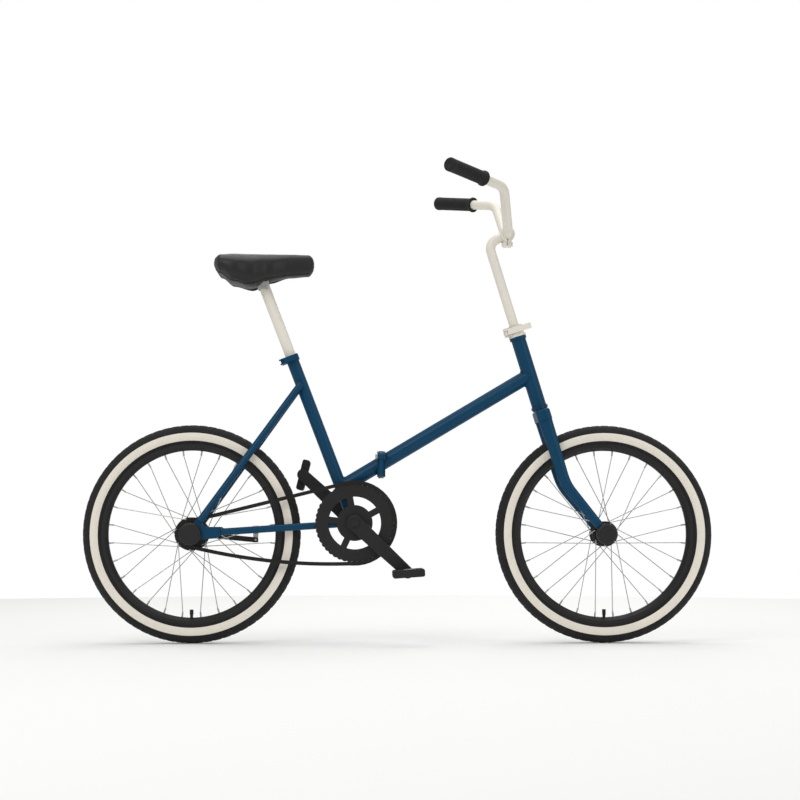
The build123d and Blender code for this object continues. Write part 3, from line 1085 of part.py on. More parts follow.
def make_clamp(origin, up, bore, outer, height, name):
    """Split clamp ring with its cross bolt and the pin that carries the cam lever."""
    forward = LATERAL.cross(up)
    bolt = clamp_bolt_place(origin, up, outer, height)
    with BuildPart() as clamp:
        with BuildSketch(Plane(origin=origin, x_dir=forward, z_dir=up)):
            Circle(outer / 2)
            with Locations((-(outer / 2 + EAR_REACH / 2 - 2), 0)):
                Rectangle(EAR_REACH + 4, 2 * EAR_HALF_WIDTH)
            Circle(bore / 2, mode=Mode.SUBTRACT)
            with Locations((-outer / 2, 0)):
                Rectangle(outer, CLAMP_SLOT, mode=Mode.SUBTRACT)
        extrude(amount=height)
        bolt_bore = CLAMP_BOLT + 2 * RUNNING
        low = bolt - LATERAL * (EAR_HALF_WIDTH + 1)
        round_bar(low, bolt + LATERAL * (EAR_HALF_WIDTH + 1), bolt_bore, mode=Mode.SUBTRACT)
    with BuildPart() as bolt_set:
        round_bar(bolt + LATERAL * CAM_Y, bolt + LATERAL * EAR_HALF_WIDTH, CLAMP_BOLT)
        round_bar(bolt + LATERAL * EAR_HALF_WIDTH, bolt + LATERAL * (EAR_HALF_WIDTH + 4), 11)
        eye = bolt + LATERAL * CAM_Y
        round_bar(eye - up * (EYE_HEIGHT / 2), eye + up * (EYE_HEIGHT / 2), 10)
        pin_bore = CAM_PIN + 2 * RUNNING
        round_bar(eye - up * CLAMP_BOLT, eye + up * CLAMP_BOLT, pin_bore, mode=Mode.SUBTRACT)
    with BuildPart() as cam_pin:
        round_bar(eye - up * (CAM_HEIGHT / 2), eye + up * (CAM_HEIGHT / 2), CAM_PIN)
    with BuildPart() as clamp_set:
        add(clamp.part)
        add(bolt_set.part)
        add(cam_pin.part)
    save(clamp_set, name)


def make_clamp_lever(origin, up, outer, height, reach, name):
    """Cam lever that swings about the clamp's pin and lies along the ring's right side."""
    forward = LATERAL.cross(up)
    eye = clamp_bolt_place(origin, up, outer, height) + LATERAL * CAM_Y
    start = outer / 2 + EAR_REACH / 2
    arm_y = min(-(outer / 2 + BODY_GAP) - CAM_Y, LEVER_THICKNESS - CAM_RADIUS)
    with BuildPart() as lever:
        with BuildSketch(Plane(origin=eye - up * (CAM_HEIGHT / 2), x_dir=forward, z_dir=up)):
            Circle(CAM_RADIUS)
            with BuildLine():
                Polyline((0, arm_y), (start, arm_y), (start + reach, arm_y + 1), (start + reach + 2, arm_y - 2),
                         (start + reach, arm_y - 4), (start, arm_y - LEVER_THICKNESS),
                         (0, arm_y - LEVER_THICKNESS), close=True)
            make_face()
        extrude(amount=CAM_HEIGHT)
        slot_half = EYE_HEIGHT / 2 + BODY_GAP
        slot_diameter = 2 * (CAM_RADIUS + BODY_GAP)
        round_bar(eye - up * slot_half, eye + up * slot_half, slot_diameter, mode=Mode.SUBTRACT)
        round_bar(eye - up * CAM_HEIGHT, eye + up * CAM_HEIGHT, CAM_PIN + 2 * RUNNING, mode=Mode.SUBTRACT)
    save(lever, name)


POST_CLAMP_OUTER = 36.0
SEAT_CLAMP_OUTER = 34.0
SEAT_CLAMP_HEIGHT = 14.0
post_clamp_origin = steer_point(HEADSET_HEIGHT + LOCKNUT_HEIGHT)
seat_clamp_origin = seat_point(SEAT_TUBE_LENGTH - SEAT_CLAMP_HEIGHT)
make_clamp(post_clamp_origin, STEER_UP, steerer_seat, POST_CLAMP_OUTER, CLAMP_HEIGHT, "post_clamp")
make_clamp_lever(post_clamp_origin, STEER_UP, POST_CLAMP_OUTER, CLAMP_HEIGHT, 34, "post_clamp_lever")
seat_clamp_bore = SEAT_TUBE_DIAMETER + 2 * RUNNING
make_clamp(seat_clamp_origin, SEAT_UP, seat_clamp_bore, SEAT_CLAMP_OUTER, SEAT_CLAMP_HEIGHT, "seat_clamp")
make_clamp_lever(seat_clamp_origin, SEAT_UP, SEAT_CLAMP_OUTER, SEAT_CLAMP_HEIGHT, 14, "seat_clamp_lever")

# --- handlepost and handlebar ------------------------------------------------------------------
BAR_CENTRE = Vector(BAR_CLAMP_X, 0, BAR_CLAMP_Z)
POST_WALL = 2.0
POST_BEND_RADIUS = 24.0
post_corner = steer_point(POST_TOP + 12)
extension_dir = (BAR_CENTRE - post_corner).normalized()
clamp_half = BAR_CLAMP_WIDTH / 2
bar_bore = BAR_DIAMETER + 2 * RUNNING
ear_dir = Vector(0, 0, -1)
ear_plane = Plane(origin=BAR_CENTRE - LATERAL * 11, x_dir=(1, 0, 0), z_dir=(0, 1, 0))
BINDER_DROP = 22.0
binder = BAR_CENTRE - Vector(0, 0, BINDER_DROP)
with BuildPart() as handlepost:
    with BuildLine():
        post_path = FilletPolyline(steer_point(-POST_INSERT), post_corner, BAR_CENTRE - extension_dir * 8,
                                   radius=POST_BEND_RADIUS)
    with BuildSketch(Plane(origin=steer_point(-POST_INSERT), z_dir=STEER_UP)):
        Circle(QUILL_DIAMETER / 2)
        Circle(QUILL_DIAMETER / 2 - POST_WALL, mode=Mode.SUBTRACT)
    sweep(path=post_path)
    round_bar(BAR_CENTRE - LATERAL * clamp_half, BAR_CENTRE + LATERAL * clamp_half, BAR_CLAMP_DIAMETER)
    block((BAR_CLAMP_X - 9, -11, BAR_CLAMP_Z - BINDER_DROP - 7), (BAR_CLAMP_X + 9, 11, BAR_CLAMP_Z))
    slit_low = (BAR_CLAMP_X - 1, -clamp_half - 1, BAR_CLAMP_Z - 40)
    block(slit_low, (BAR_CLAMP_X + 1, clamp_half + 1, BAR_CLAMP_Z), Mode.SUBTRACT)
    bore_start = BAR_CENTRE - LATERAL * (clamp_half + 1)
    round_bar(bore_start, BAR_CENTRE + LATERAL * (clamp_half + 1), bar_bore, mode=Mode.SUBTRACT)
    round_bar(binder - Vector(10, 0, 0), binder + Vector(10, 0, 0), CLAMP_BOLT + 2 * RUNNING, mode=Mode.SUBTRACT)
    round_bar(binder - Vector(13, 0, 0), binder + Vector(9, 0, 0), CLAMP_BOLT)
    round_bar(binder - Vector(13, 0, 0), binder - Vector(9, 0, 0), 11)
    round_bar(binder + Vector(9, 0, 0), binder + Vector(13, 0, 0), 11)
save(handlepost, "handlepost")

bar_end = Vector(*BAR_END)
bar_bend = Vector(*BAR_BEND)
grip_dir = (bar_end - bar_bend).normalized()
GRIP_END_WALL = 5.0
with BuildPart() as handlebar:
    with BuildLine():
        bar_path = FilletPolyline(BAR_CENTRE, BAR_CENTRE + LATERAL * BAR_STRAIGHT, bar_bend,
                                  bar_end - grip_dir * GRIP_END_WALL, radius=BAR_BEND_RADII)
    with BuildSketch(Plane(origin=BAR_CENTRE, z_dir=LATERAL)):
        Circle(BAR_DIAMETER / 2)
        Circle(BAR_DIAMETER / 2 - POST_WALL, mode=Mode.SUBTRACT)
    sweep(path=bar_path)
    mirror(about=Plane.XZ)
save(handlebar, "handlebar")

grip_radius = GRIP_DIAMETER / 2
GRIP_FLANGE = 2.5
grip_outline = [(bar_bore / 2, -GRIP_LENGTH), (grip_radius + GRIP_FLANGE, -GRIP_LENGTH),
                (grip_radius + GRIP_FLANGE, 5 - GRIP_LENGTH), (grip_radius, 8 - GRIP_LENGTH), (grip_radius - 1, -GRIP_LENGTH / 2), (grip_radius, -22),
                (grip_radius, -4), (grip_radius - 3, 0), (0, 0), (0, -GRIP_END_WALL + 0.1),
                (bar_bore / 2, -GRIP_END_WALL + 0.1)]
with BuildPart() as handlebar_grips:
    lathe(bar_end, grip_dir, grip_outline)
    mirror(about=Plane.XZ)
save(handlebar_grips, "handlebar_grips")

# --- seat post and saddle ----------------------------------------------------------------------
SADDLE_CENTRE = seat_point(SADDLE_PIVOT)
PIVOT_BOLT = 8.0
HEAD_PLUG = 34.0
with BuildPart() as seatpost:
    post_foot = seat_point(SEAT_TUBE_LENGTH - POST_BELOW_TOP)
    post_head = seat_point(SADDLE_PIVOT + 13)
    round_bar(post_foot, post_head, SEAT_POST_DIAMETER)
    round_bar(post_foot, post_head - SEAT_UP * HEAD_PLUG, SEAT_POST_DIAMETER - 4, mode=Mode.SUBTRACT)
    half_bolt = LATERAL * SEAT_POST_DIAMETER
    round_bar(SADDLE_CENTRE - half_bolt, SADDLE_CENTRE + half_bolt, PIVOT_BOLT + 2 * RUNNING, mode=Mode.SUBTRACT)
save(seatpost, "seatpost")

SADDLE_WALL = 10.0
SADDLE_CEILING = SADDLE_TOP_Z - 29
SADDLE_STATIONS = [
    (0, 12, -7, -40), (10, 20, -1, -47), (55, 26, 0, -52), (105, 45, 0, -67), (143, 66, 0, -80),
    (190, 80, 0, -67), (219, 72, -3, -45), (231, 50, -10, -31),
]
CAVITY_STATIONS = [(22, 13), (55, 18), (105, 36), (143, 56), (190, 70), (215, 64)]
with BuildPart() as saddle_pad:
    for back, half_width, top, bottom in SADDLE_STATIONS:
        station = (SADDLE_NOSE_X - back, 0, SADDLE_TOP_Z)
        with BuildSketch(Plane(origin=station, x_dir=(0, 1, 0), z_dir=(-1, 0, 0))):
            with Locations((0, -(top + bottom) / 2)):
                RectangleRounded(2 * half_width, top - bottom, min(half_width, (top - bottom) / 2) * 0.6)
    loft()
    for back, half_width in CAVITY_STATIONS:
        station = (SADDLE_NOSE_X - back, 0, SADDLE_CEILING)
        with BuildSketch(Plane(origin=station, x_dir=(0, 1, 0), z_dir=(-1, 0, 0))):
            with Locations((0, SADDLE_TOP_Z / 10)):
                Rectangle(2 * half_width, SADDLE_TOP_Z / 5)
    loft(ruled=True, mode=Mode.SUBTRACT)
save(saddle_pad, "saddle_pad")

BASE_THICKNESS = 3.5
with BuildPart() as saddle_base:
    with BuildSketch(Plane.XY.offset(SADDLE_CEILING - BASE_THICKNESS)):
        with BuildLine():
            left = [(SADDLE_NOSE_X - back, half_width - PAD_GAP) for back, half_width in CAVITY_STATIONS]
            Polyline(*left, *[(x, -y) for x, y in reversed(left)], close=True)
        make_face()
    extrude(amount=BASE_THICKNESS)
save(saddle_base, "saddle_base")

RAIL_RISE = 18.0
rail_z = SADDLE_CENTRE.Z + RAIL_RISE
rail_end_z = SADDLE_CEILING - BASE_THICKNESS - SADDLE_RAIL_DIAMETER / 2 - BODY_GAP
with BuildPart() as saddle_rails:
    with BuildLine():
        rail_path = FilletPolyline(
            (SADDLE_NOSE_X - 30, 7, rail_end_z), (SADDLE_CENTRE.X + 30, SADDLE_RAIL_Y, rail_z),
            (SADDLE_CENTRE.X - 40, SADDLE_RAIL_Y, rail_z), (SADDLE_TAIL_X + 26, 36, rail_end_z), radius=18)
    rail_start = Plane(origin=rail_path @ 0, z_dir=rail_path % 0)
    with BuildSketch(rail_start):
        Circle(SADDLE_RAIL_DIAMETER / 2)
    sweep(path=rail_path)
    mirror(about=Plane.XZ)
save(saddle_rails, "saddle_rails")

EAR_INNER_Y = SEAT_POST_DIAMETER / 2 + BODY_GAP
EAR_OUTER_Y = 29.0
with BuildPart() as saddle_clamp:
    for sign in (-1, 1):
        low_y, high_y = sorted((sign * EAR_INNER_Y, sign * EAR_OUTER_Y))
        block((SADDLE_CENTRE.X - 13, low_y, SADDLE_CENTRE.Z - 10), (SADDLE_CENTRE.X + 13, high_y, rail_z + 6))
        rail_start = Vector(SADDLE_CENTRE.X - 14, sign * SADDLE_RAIL_Y, rail_z)
        rail_bore = SADDLE_RAIL_DIAMETER + 2 * RUNNING
        round_bar(rail_start, rail_start + Vector(28, 0, 0), rail_bore, mode=Mode.SUBTRACT)
    round_bar(across(SADDLE_CENTRE, -33), across(SADDLE_CENTRE, 33), PIVOT_BOLT)
    round_bar(across(SADDLE_CENTRE, -33), across(SADDLE_CENTRE, -EAR_OUTER_Y), 13)
    round_bar(across(SADDLE_CENTRE, EAR_OUTER_Y), across(SADDLE_CENTRE, 33), 13)
save(saddle_clamp, "saddle_clamp")
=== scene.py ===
"""Looks of the folding bicycle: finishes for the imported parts, and soft pieces in mesh.

The tyres, the saddle cover, the grips and the weld beads are meshes made here. Tyres and saddle
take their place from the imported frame's boxes. Grips and welds have places of their own, in the
frame's coordinates. Every length is in metres unless its name or comment says otherwise.
"""

import json
import logging
import math
from collections.abc import Sequence
from dataclasses import dataclass
from enum import Enum

import bmesh
import bpy
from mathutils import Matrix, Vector

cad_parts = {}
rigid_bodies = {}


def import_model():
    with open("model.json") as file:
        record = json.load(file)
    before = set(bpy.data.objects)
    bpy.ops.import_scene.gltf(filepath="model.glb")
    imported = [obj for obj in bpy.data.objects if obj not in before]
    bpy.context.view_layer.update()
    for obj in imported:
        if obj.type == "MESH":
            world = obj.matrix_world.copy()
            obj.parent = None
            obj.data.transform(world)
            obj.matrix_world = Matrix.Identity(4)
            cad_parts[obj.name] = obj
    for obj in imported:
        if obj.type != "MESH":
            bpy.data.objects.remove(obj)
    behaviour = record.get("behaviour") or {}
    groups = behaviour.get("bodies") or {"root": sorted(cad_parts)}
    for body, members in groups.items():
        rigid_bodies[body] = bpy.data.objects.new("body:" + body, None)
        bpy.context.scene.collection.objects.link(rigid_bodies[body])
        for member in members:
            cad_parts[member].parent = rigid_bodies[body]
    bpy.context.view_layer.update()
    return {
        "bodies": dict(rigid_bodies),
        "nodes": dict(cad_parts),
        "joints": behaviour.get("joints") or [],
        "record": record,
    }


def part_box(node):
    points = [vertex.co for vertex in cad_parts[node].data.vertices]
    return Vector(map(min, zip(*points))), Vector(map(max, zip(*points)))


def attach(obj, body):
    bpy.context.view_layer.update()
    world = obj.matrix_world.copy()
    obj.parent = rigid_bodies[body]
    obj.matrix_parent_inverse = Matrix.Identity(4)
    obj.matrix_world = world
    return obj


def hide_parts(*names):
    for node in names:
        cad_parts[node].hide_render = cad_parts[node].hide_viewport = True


LOG = logging.getLogger("folding_bicycle")
MM = 0.001
LATERAL = Vector((0.0, 1.0, 0.0))
LEFT_AND_RIGHT = (("left", 1.0), ("right", -1.0))


# --- Finishes ---
class Grain(Enum):
    """Small-scale relief of a surface."""

    ORANGE_PEEL = "orange peel of sprayed paint"
    LEATHER = "pebbled cover"
    MOULDED = "fine spark-eroded plastic"
    RUBBER = "matt rubber with dust"
    BRUSHED = "drawn or brushed metal"


@dataclass(frozen=True)
class Finish:
    """One surface finish.

    Attributes:
        name: Material name.
        colour: Base colour as an sRGB hex string.
        shade: How much darker the mottled parts are, from 0 to 1.
        roughness: Middle roughness.
        grain: Kind of relief.
        grain_size: Size of one grain cell in metres.
        relief: Height of the relief in metres.
        roughness_spread: Variation of the roughness either way.
        metallic: Metallic share.
        coat: Weight of the clear coat.
        sheen: Weight of the dusty sheen.
        specular: Level of the specular reflection.
    """

    name: str
    colour: str
    shade: float
    roughness: float
    grain: Grain
    grain_size: float
    relief: float
    roughness_spread: float = 0.08
    metallic: float = 0.0
    coat: float = 0.0
    sheen: float = 0.0
    specular: float = 0.34


# Sprayed and baked enamel: a deep blue with a soft, slightly dimpled shine.
FRAME_PAINT = Finish(
    "frame_paint", "#003D5C", shade=0.08, roughness=0.42, roughness_spread=0.05,
    coat=0.06, grain=Grain.ORANGE_PEEL, grain_size=0.0016, relief=0.00002, specular=0.16)
# The same enamel in cream: even and warm, with a little more gloss.
CREAM_PAINT = Finish(
    "cream_paint", "#E6E0D4", shade=0.04, roughness=0.40, roughness_spread=0.05,
    coat=0.2, grain=Grain.ORANGE_PEEL, grain_size=0.0016, relief=0.00002)
# Black paint on steel and alloy parts: satin, a little uneven where hands and grease reach it.
DARK_PAINT = Finish(
    "dark_paint", "#171717", shade=0.18, roughness=0.48,
    coat=0.05, grain=Grain.ORANGE_PEEL, grain_size=0.0012, relief=0.00003)
# Vulcanised black rubber: matt, with a dusty bloom on the tread.
TREAD_RUBBER = Finish(
    "tread_rubber", "#1C1C1C", shade=0.22, roughness=0.82, roughness_spread=0.10,
    grain=Grain.RUBBER, grain_size=0.0009, relief=0.00006, sheen=0.03)
# Pigmented sidewall rubber: a smooth cream band, chalky at a low angle.
CREAM_RUBBER = Finish(
    "cream_rubber", "#E8E1D4", shade=0.05, roughness=0.62,
    grain=Grain.RUBBER, grain_size=0.0011, relief=0.00005, sheen=0.05)
# Moulded grip rubber: softer and less dusty than the tread.
GRIP_RUBBER = Finish(
    "grip_rubber", "#191919", shade=0.18, roughness=0.72,
    grain=Grain.RUBBER, grain_size=0.0008, relief=0.00005, sheen=0.03)
# Spark-eroded plastic: an even fine grain that spreads its highlights.
DARK_PLASTIC = Finish(
    "dark_plastic", "#191919", shade=0.14, roughness=0.52,
    grain=Grain.MOULDED, grain_size=0.0005, relief=0.00003)
# Vinyl over foam: pebbled like leather, its highlight broken by the pebbles.
# The pebbles are drawn coarser than the 1 mm of a real cover, or they would vanish.
SADDLE_COVER = Finish(
    "saddle_cover", "#181818", shade=0.16, roughness=0.50,
    coat=0.1, grain=Grain.LEATHER, grain_size=0.0022, relief=0.00018)
# Oiled, browned steel: dark with uneven dull glints.
CHAIN_STEEL = Finish(
    "chain_steel", "#2A2826", shade=0.30, metallic=0.7, roughness=0.42, roughness_spread=0.12,
    grain=Grain.BRUSHED, grain_size=0.0012, relief=0.00002)
# Drawn and zinc-plated steel: a cool grey that mirrors the room softly along its length.
STEEL = Finish(
    "steel", "#B4B4B2", shade=0.16, metallic=1.0, roughness=0.30, roughness_spread=0.10,
    grain=Grain.BRUSHED, grain_size=0.0012, relief=0.00001)
# Turned aluminium: lighter and a touch softer than the steel.
HUB_ALLOY = Finish(
    "hub_alloy", "#BDBDBE", shade=0.12, metallic=1.0, roughness=0.34,
    grain=Grain.BRUSHED, grain_size=0.0014, relief=0.00001)
# Spun polyester thread: dull grey, lighter than the cover it runs through.
STITCH = Finish(
    "stitch_thread", "#4A4A48", shade=0.20, roughness=0.80, roughness_spread=0.05,
    grain=Grain.RUBBER, grain_size=0.0004, relief=0.00003)


def linear(hex_colour: str) -> tuple[float, float, float, float]:
    """Convert an sRGB hex string to linear RGBA.

    Args:
        hex_colour: Colour such as "#0F415C".

    Returns:
        The linear colour with full alpha.
    """
    channels = []
    for start in (1, 3, 5):
        value = int(hex_colour[start:start + 2], 16) / 255
        channels.append(value / 12.92 if value <= 0.04045 else ((value + 0.055) / 1.055) ** 2.4)
    return (channels[0], channels[1], channels[2], 1.0)


def scaled(colour: Sequence[float], factor: float) -> tuple[float, float, float, float]:
    """Return the colour with its channels multiplied by a factor."""
    return (colour[0] * factor, colour[1] * factor, colour[2] * factor, 1.0)


def add_node(tree: bpy.types.NodeTree, kind: str, settings: dict | None = None,
             inputs: dict | None = None) -> bpy.types.Node:
    """Add a node, set its properties and fill or link its inputs.

    Args:
        tree: Node tree of a material or a world.
        kind: Node type name.
        settings: Node properties by name.
        inputs: Input sockets by name or number; a value, or an output socket to link.

    Returns:
        The new node.
    """
    made = tree.nodes.new(kind)
    for key, value in (settings or {}).items():
        setattr(made, key, value)
    for key, value in (inputs or {}).items():
        if isinstance(value, bpy.types.NodeSocket):
            tree.links.new(value, made.inputs[key])
        else:
            made.inputs[key].default_value = value
    return made


class Shader:
    """Builds one node material from a finish.

    Attributes:
        LIFT: Share of the shade by which the light mottles rise above the base colour.
        MOTTLE_SCALE: Cells of the broad mottling in a metre.
        FINE_SCALE: Cells of the fine mottling in a metre.
        METAL_SPECULAR: Specular level of anything metallic.
        COAT_ROUGHNESS: Roughness of the clear coat.
        NOISE_DETAIL: Octaves of the relief noise of each plain grain.
        COLOUR_A: Input of the colour mix that holds the darker colour.
        COLOUR_B: Input of the colour mix that holds the lighter colour.
        COLOUR_OUT: Output of the colour mix.
    """

    LIFT = 0.35
    MOTTLE_SCALE = 14.0
    FINE_SCALE = 160.0
    METAL_SPECULAR = 0.5
    COAT_ROUGHNESS = 0.12
    NOISE_DETAIL = {Grain.ORANGE_PEEL: 1.0, Grain.MOULDED: 2.0, Grain.RUBBER: 5.0}
    COLOUR_A = 6
    COLOUR_B = 7
    COLOUR_OUT = 2

    def __init__(self, finish: Finish) -> None:
        """Start an empty material.

        Args:
            finish: The finish to build.
        """
        self.finish = finish
        self.material = bpy.data.materials.new(finish.name)
        self.material.use_nodes = True
        self.tree = self.material.node_tree
        self.tree.nodes.clear()

    def relief(self, place: bpy.types.NodeSocket) -> bpy.types.NodeSocket:
        """Build the height pattern of the finish's grain.

        Args:
            place: Object coordinates in metres.

        Returns:
            A height output between about 0 and 1.
        """
        tree = self.tree
        scale = 1 / self.finish.grain_size
        if self.finish.grain is Grain.LEATHER:
            cells = add_node(tree, "ShaderNodeTexVoronoi", {"feature": "SMOOTH_F1"},
                             {"Vector": place, "Scale": scale, "Smoothness": 0.6})
            fold = add_node(tree, "ShaderNodeTexNoise", {},
                            {"Vector": place, "Scale": scale * 0.35, "Detail": 3.0})
            mixed = add_node(tree, "ShaderNodeMath", {"operation": "MULTIPLY_ADD"},
                             {0: fold.outputs["Fac"], 1: 0.5, 2: cells.outputs["Distance"]})
            return mixed.outputs[0]
        if self.finish.grain is Grain.BRUSHED:
            stretch = add_node(tree, "ShaderNodeMapping", {},
                               {"Vector": place, "Scale": (1.0, 0.12, 1.0)})
            lines = add_node(tree, "ShaderNodeTexNoise", {},
                             {"Vector": stretch.outputs[0], "Scale": scale, "Detail": 4.0})
            return lines.outputs["Fac"]
        noise = add_node(tree, "ShaderNodeTexNoise", {}, {
            "Vector": place, "Scale": scale, "Detail": self.NOISE_DETAIL[self.finish.grain]})
        return noise.outputs["Fac"]

    def colour(self, base: Sequence[float], place: bpy.types.NodeSocket,
               mottle: bpy.types.NodeSocket) -> bpy.types.NodeSocket:
        """Build the base colour, darker and lighter by the mottling.

        Args:
            base: Linear base colour.
            place: Object coordinates in metres.
            mottle: The broad mottling.

        Returns:
            The colour output.
        """
        tree = self.tree
        fine = add_node(tree, "ShaderNodeTexNoise", {},
                        {"Vector": place, "Scale": self.FINE_SCALE, "Detail": 3.0})
        blend = add_node(tree, "ShaderNodeMath", {"operation": "MULTIPLY"},
                         {0: mottle, 1: fine.outputs["Fac"]})
        spread = add_node(tree, "ShaderNodeMapRange", {},
                          {"Value": blend.outputs[0], "From Min": 0.12, "From Max": 0.42})
        mix = add_node(tree, "ShaderNodeMix", {"data_type": "RGBA"}, {
            "Factor": spread.outputs[0],
            self.COLOUR_A: scaled(base, 1 - self.finish.shade),
            self.COLOUR_B: scaled(base, 1 + self.finish.shade * self.LIFT)})
        return mix.outputs[self.COLOUR_OUT]

    def build(self) -> bpy.types.Material:
        """Make the whole node tree.

        Returns:
            The finished material.
        """
        finish, tree = self.finish, self.tree
        base = linear(finish.colour)
        place = add_node(tree, "ShaderNodeTexCoord").outputs["Object"]
        mottle = add_node(tree, "ShaderNodeTexNoise", {}, {
            "Vector": place, "Scale": self.MOTTLE_SCALE, "Detail": 6.0, "Roughness": 0.6})
        rough = add_node(tree, "ShaderNodeMapRange", {}, {
            "Value": mottle.outputs["Fac"], "From Min": 0.3, "From Max": 0.7,
            "To Min": finish.roughness - finish.roughness_spread,
            "To Max": finish.roughness + finish.roughness_spread})
        bump = add_node(tree, "ShaderNodeBump", {}, {
            "Height": self.relief(place), "Strength": 1.0, "Distance": finish.relief})
        shader = add_node(tree, "ShaderNodeBsdfPrincipled", {}, {
            "Base Color": self.colour(base, place, mottle.outputs["Fac"]),
            "Roughness": rough.outputs[0],
            "Metallic": finish.metallic,
            "Specular IOR Level": self.METAL_SPECULAR if finish.metallic else finish.specular,
            "Coat Weight": finish.coat,
            "Coat Roughness": self.COAT_ROUGHNESS,
            "Sheen Weight": finish.sheen,
            "Normal": bump.outputs[0]})
        add_node(tree, "ShaderNodeOutputMaterial", {}, {"Surface": shader.outputs[0]})
        self.material.diffuse_color = base
        return self.material


class Palette:
    """Makes each finish's material once."""

    def __init__(self) -> None:
        """Start with no material made."""
        self.made: dict[str, bpy.types.Material] = {}

    def get(self, finish: Finish) -> bpy.types.Material:
        """Return the material of a finish, making it at its first use."""
        if finish.name not in self.made:
            self.made[finish.name] = Shader(finish).build()
        return self.made[finish.name]


# --- Mesh helpers ---
def add_mesh(name: str, verts: Sequence[Vector], faces: Sequence[tuple[int, ...]],
             materials: Sequence[bpy.types.Material],
             face_slots: Sequence[int] | None = None) -> bpy.types.Object:
    """Make a smooth-shaded mesh object.

    Args:
        name: Piece name.
        verts: Vertex places.
        faces: Vertex indices of each face.
        materials: Materials in slot order.
        face_slots: Slot of each face, if there is more than one material.

    Returns:
        The new object, linked to the scene.
    """
    mesh = bpy.data.meshes.new(name)
    mesh.from_pydata([tuple(v) for v in verts], [], faces)
    for material in materials:
        mesh.materials.append(material)
    if face_slots:
        mesh.polygons.foreach_set("material_index", face_slots)
    shaper = bmesh.new()
    shaper.from_mesh(mesh)
    bmesh.ops.recalc_face_normals(shaper, faces=shaper.faces)
    shaper.to_mesh(mesh)
    shaper.free()
    mesh.polygons.foreach_set("use_smooth", [True] * len(mesh.polygons))
    piece = bpy.data.objects.new(name, mesh)
    bpy.context.collection.objects.link(piece)
    return piece


def loop_faces(rings: int, points: int, closed_rings: bool,
               closed_points: bool) -> list[tuple[int, ...]]:
    """List the quads between successive rings of points.

    Args:
        rings: Number of rings.
        points: Points of each ring.
        closed_rings: Whether the last ring joins the first.
        closed_points: Whether the last point of a ring joins its first.

    Returns:
        Vertex indices of each quad.
    """
    faces: list[tuple[int, ...]] = []
    for ring in range(rings if closed_rings else rings - 1):
        here, after = ring * points, (ring + 1) % rings * points
        for point in range(points if closed_points else points - 1):
            beside = (point + 1) % points
            faces.append((here + point, here + beside, after + beside, after + point))
    return faces


def axis_frame(axis: Vector) -> tuple[Vector, Vector]:
    """Find two unit directions square to an axis and to each other.

    Args:
        axis: Unit direction.

    Returns:
        The two directions.
    """
    nearly_upright = 0.7
    helper = Vector((0.0, 0.0, 1.0)) if abs(axis.z) < nearly_upright else Vector((1.0, 0.0, 0.0))
    first = axis.cross(helper).normalized()
    return first, axis.cross(first).normalized()


def round_about(axis: Vector, turn: float) -> Vector:
    """Find the unit direction square to an axis at an angle round it.

    Args:
        axis: Unit direction.
        turn: Angle in radians.

    Returns:
        The direction.
    """
    first, second = axis_frame(axis)
    return first * math.cos(turn) + second * math.sin(turn)


def turned(name: str, origin: Vector, axis: Vector, outline: Sequence[tuple[float, float]],
           material: bpy.types.Material, segments: int = 64) -> bpy.types.Object:
    """Turn an open outline about an axis and close its ends with caps.

    Args:
        name: Piece name.
        origin: Point on the axis where the outline starts.
        axis: Unit direction of the axis.
        outline: Points as (radius, distance along the axis).
        material: Its material.
        segments: Steps round the axis.

    Returns:
        The new object.
    """
    verts = []
    for radius, along in outline:
        for step in range(segments):
            out = round_about(axis, 2 * math.pi * step / segments)
            verts.append(origin + axis * along + out * radius)
    faces = loop_faces(len(outline), segments, False, True)
    faces.append(tuple(range(segments)))
    faces.append(tuple((len(outline) - 1) * segments + step for step in range(segments)))
    return add_mesh(name, verts, faces, [material])


def bead(name: str, path: Sequence[Vector], radius: float, ripple: float,
         material: bpy.types.Material, closed: bool = True) -> bpy.types.Object:
    """Make a thick line through points, its radius rippled along its length.

    Args:
        name: Piece name.
        path: Points of the line.
        radius: Mean radius.
        ripple: Share by which the radius rises and falls from point to point.
        material: Its material.
        closed: Whether the line closes on itself.

    Returns:
        The new mesh object.
    """
    curve = bpy.data.curves.new(name, "CURVE")
    curve.dimensions = "3D"
    curve.bevel_depth = radius
    curve.bevel_resolution = 3
    spline = curve.splines.new("POLY")
    spline.points.add(len(path) - 1)
    for index, place in enumerate(path):
        spline.points[index].co = (*place, 1.0)
        spline.points[index].radius = 1 + ripple * math.sin(index * math.pi / 2)
    spline.use_cyclic_u = closed
    holder = bpy.data.objects.new(name + "_line", curve)
    bpy.context.collection.objects.link(holder)
    bpy.context.view_layer.update()
    graph = bpy.context.evaluated_depsgraph_get()
    mesh = bpy.data.meshes.new_from_object(holder.evaluated_get(graph))
    bpy.data.objects.remove(holder)
    mesh.materials.clear()
    mesh.materials.append(material)
    mesh.polygons.foreach_set("use_smooth", [True] * len(mesh.polygons))
    piece = bpy.data.objects.new(name, mesh)
    bpy.context.collection.objects.link(piece)
    return piece


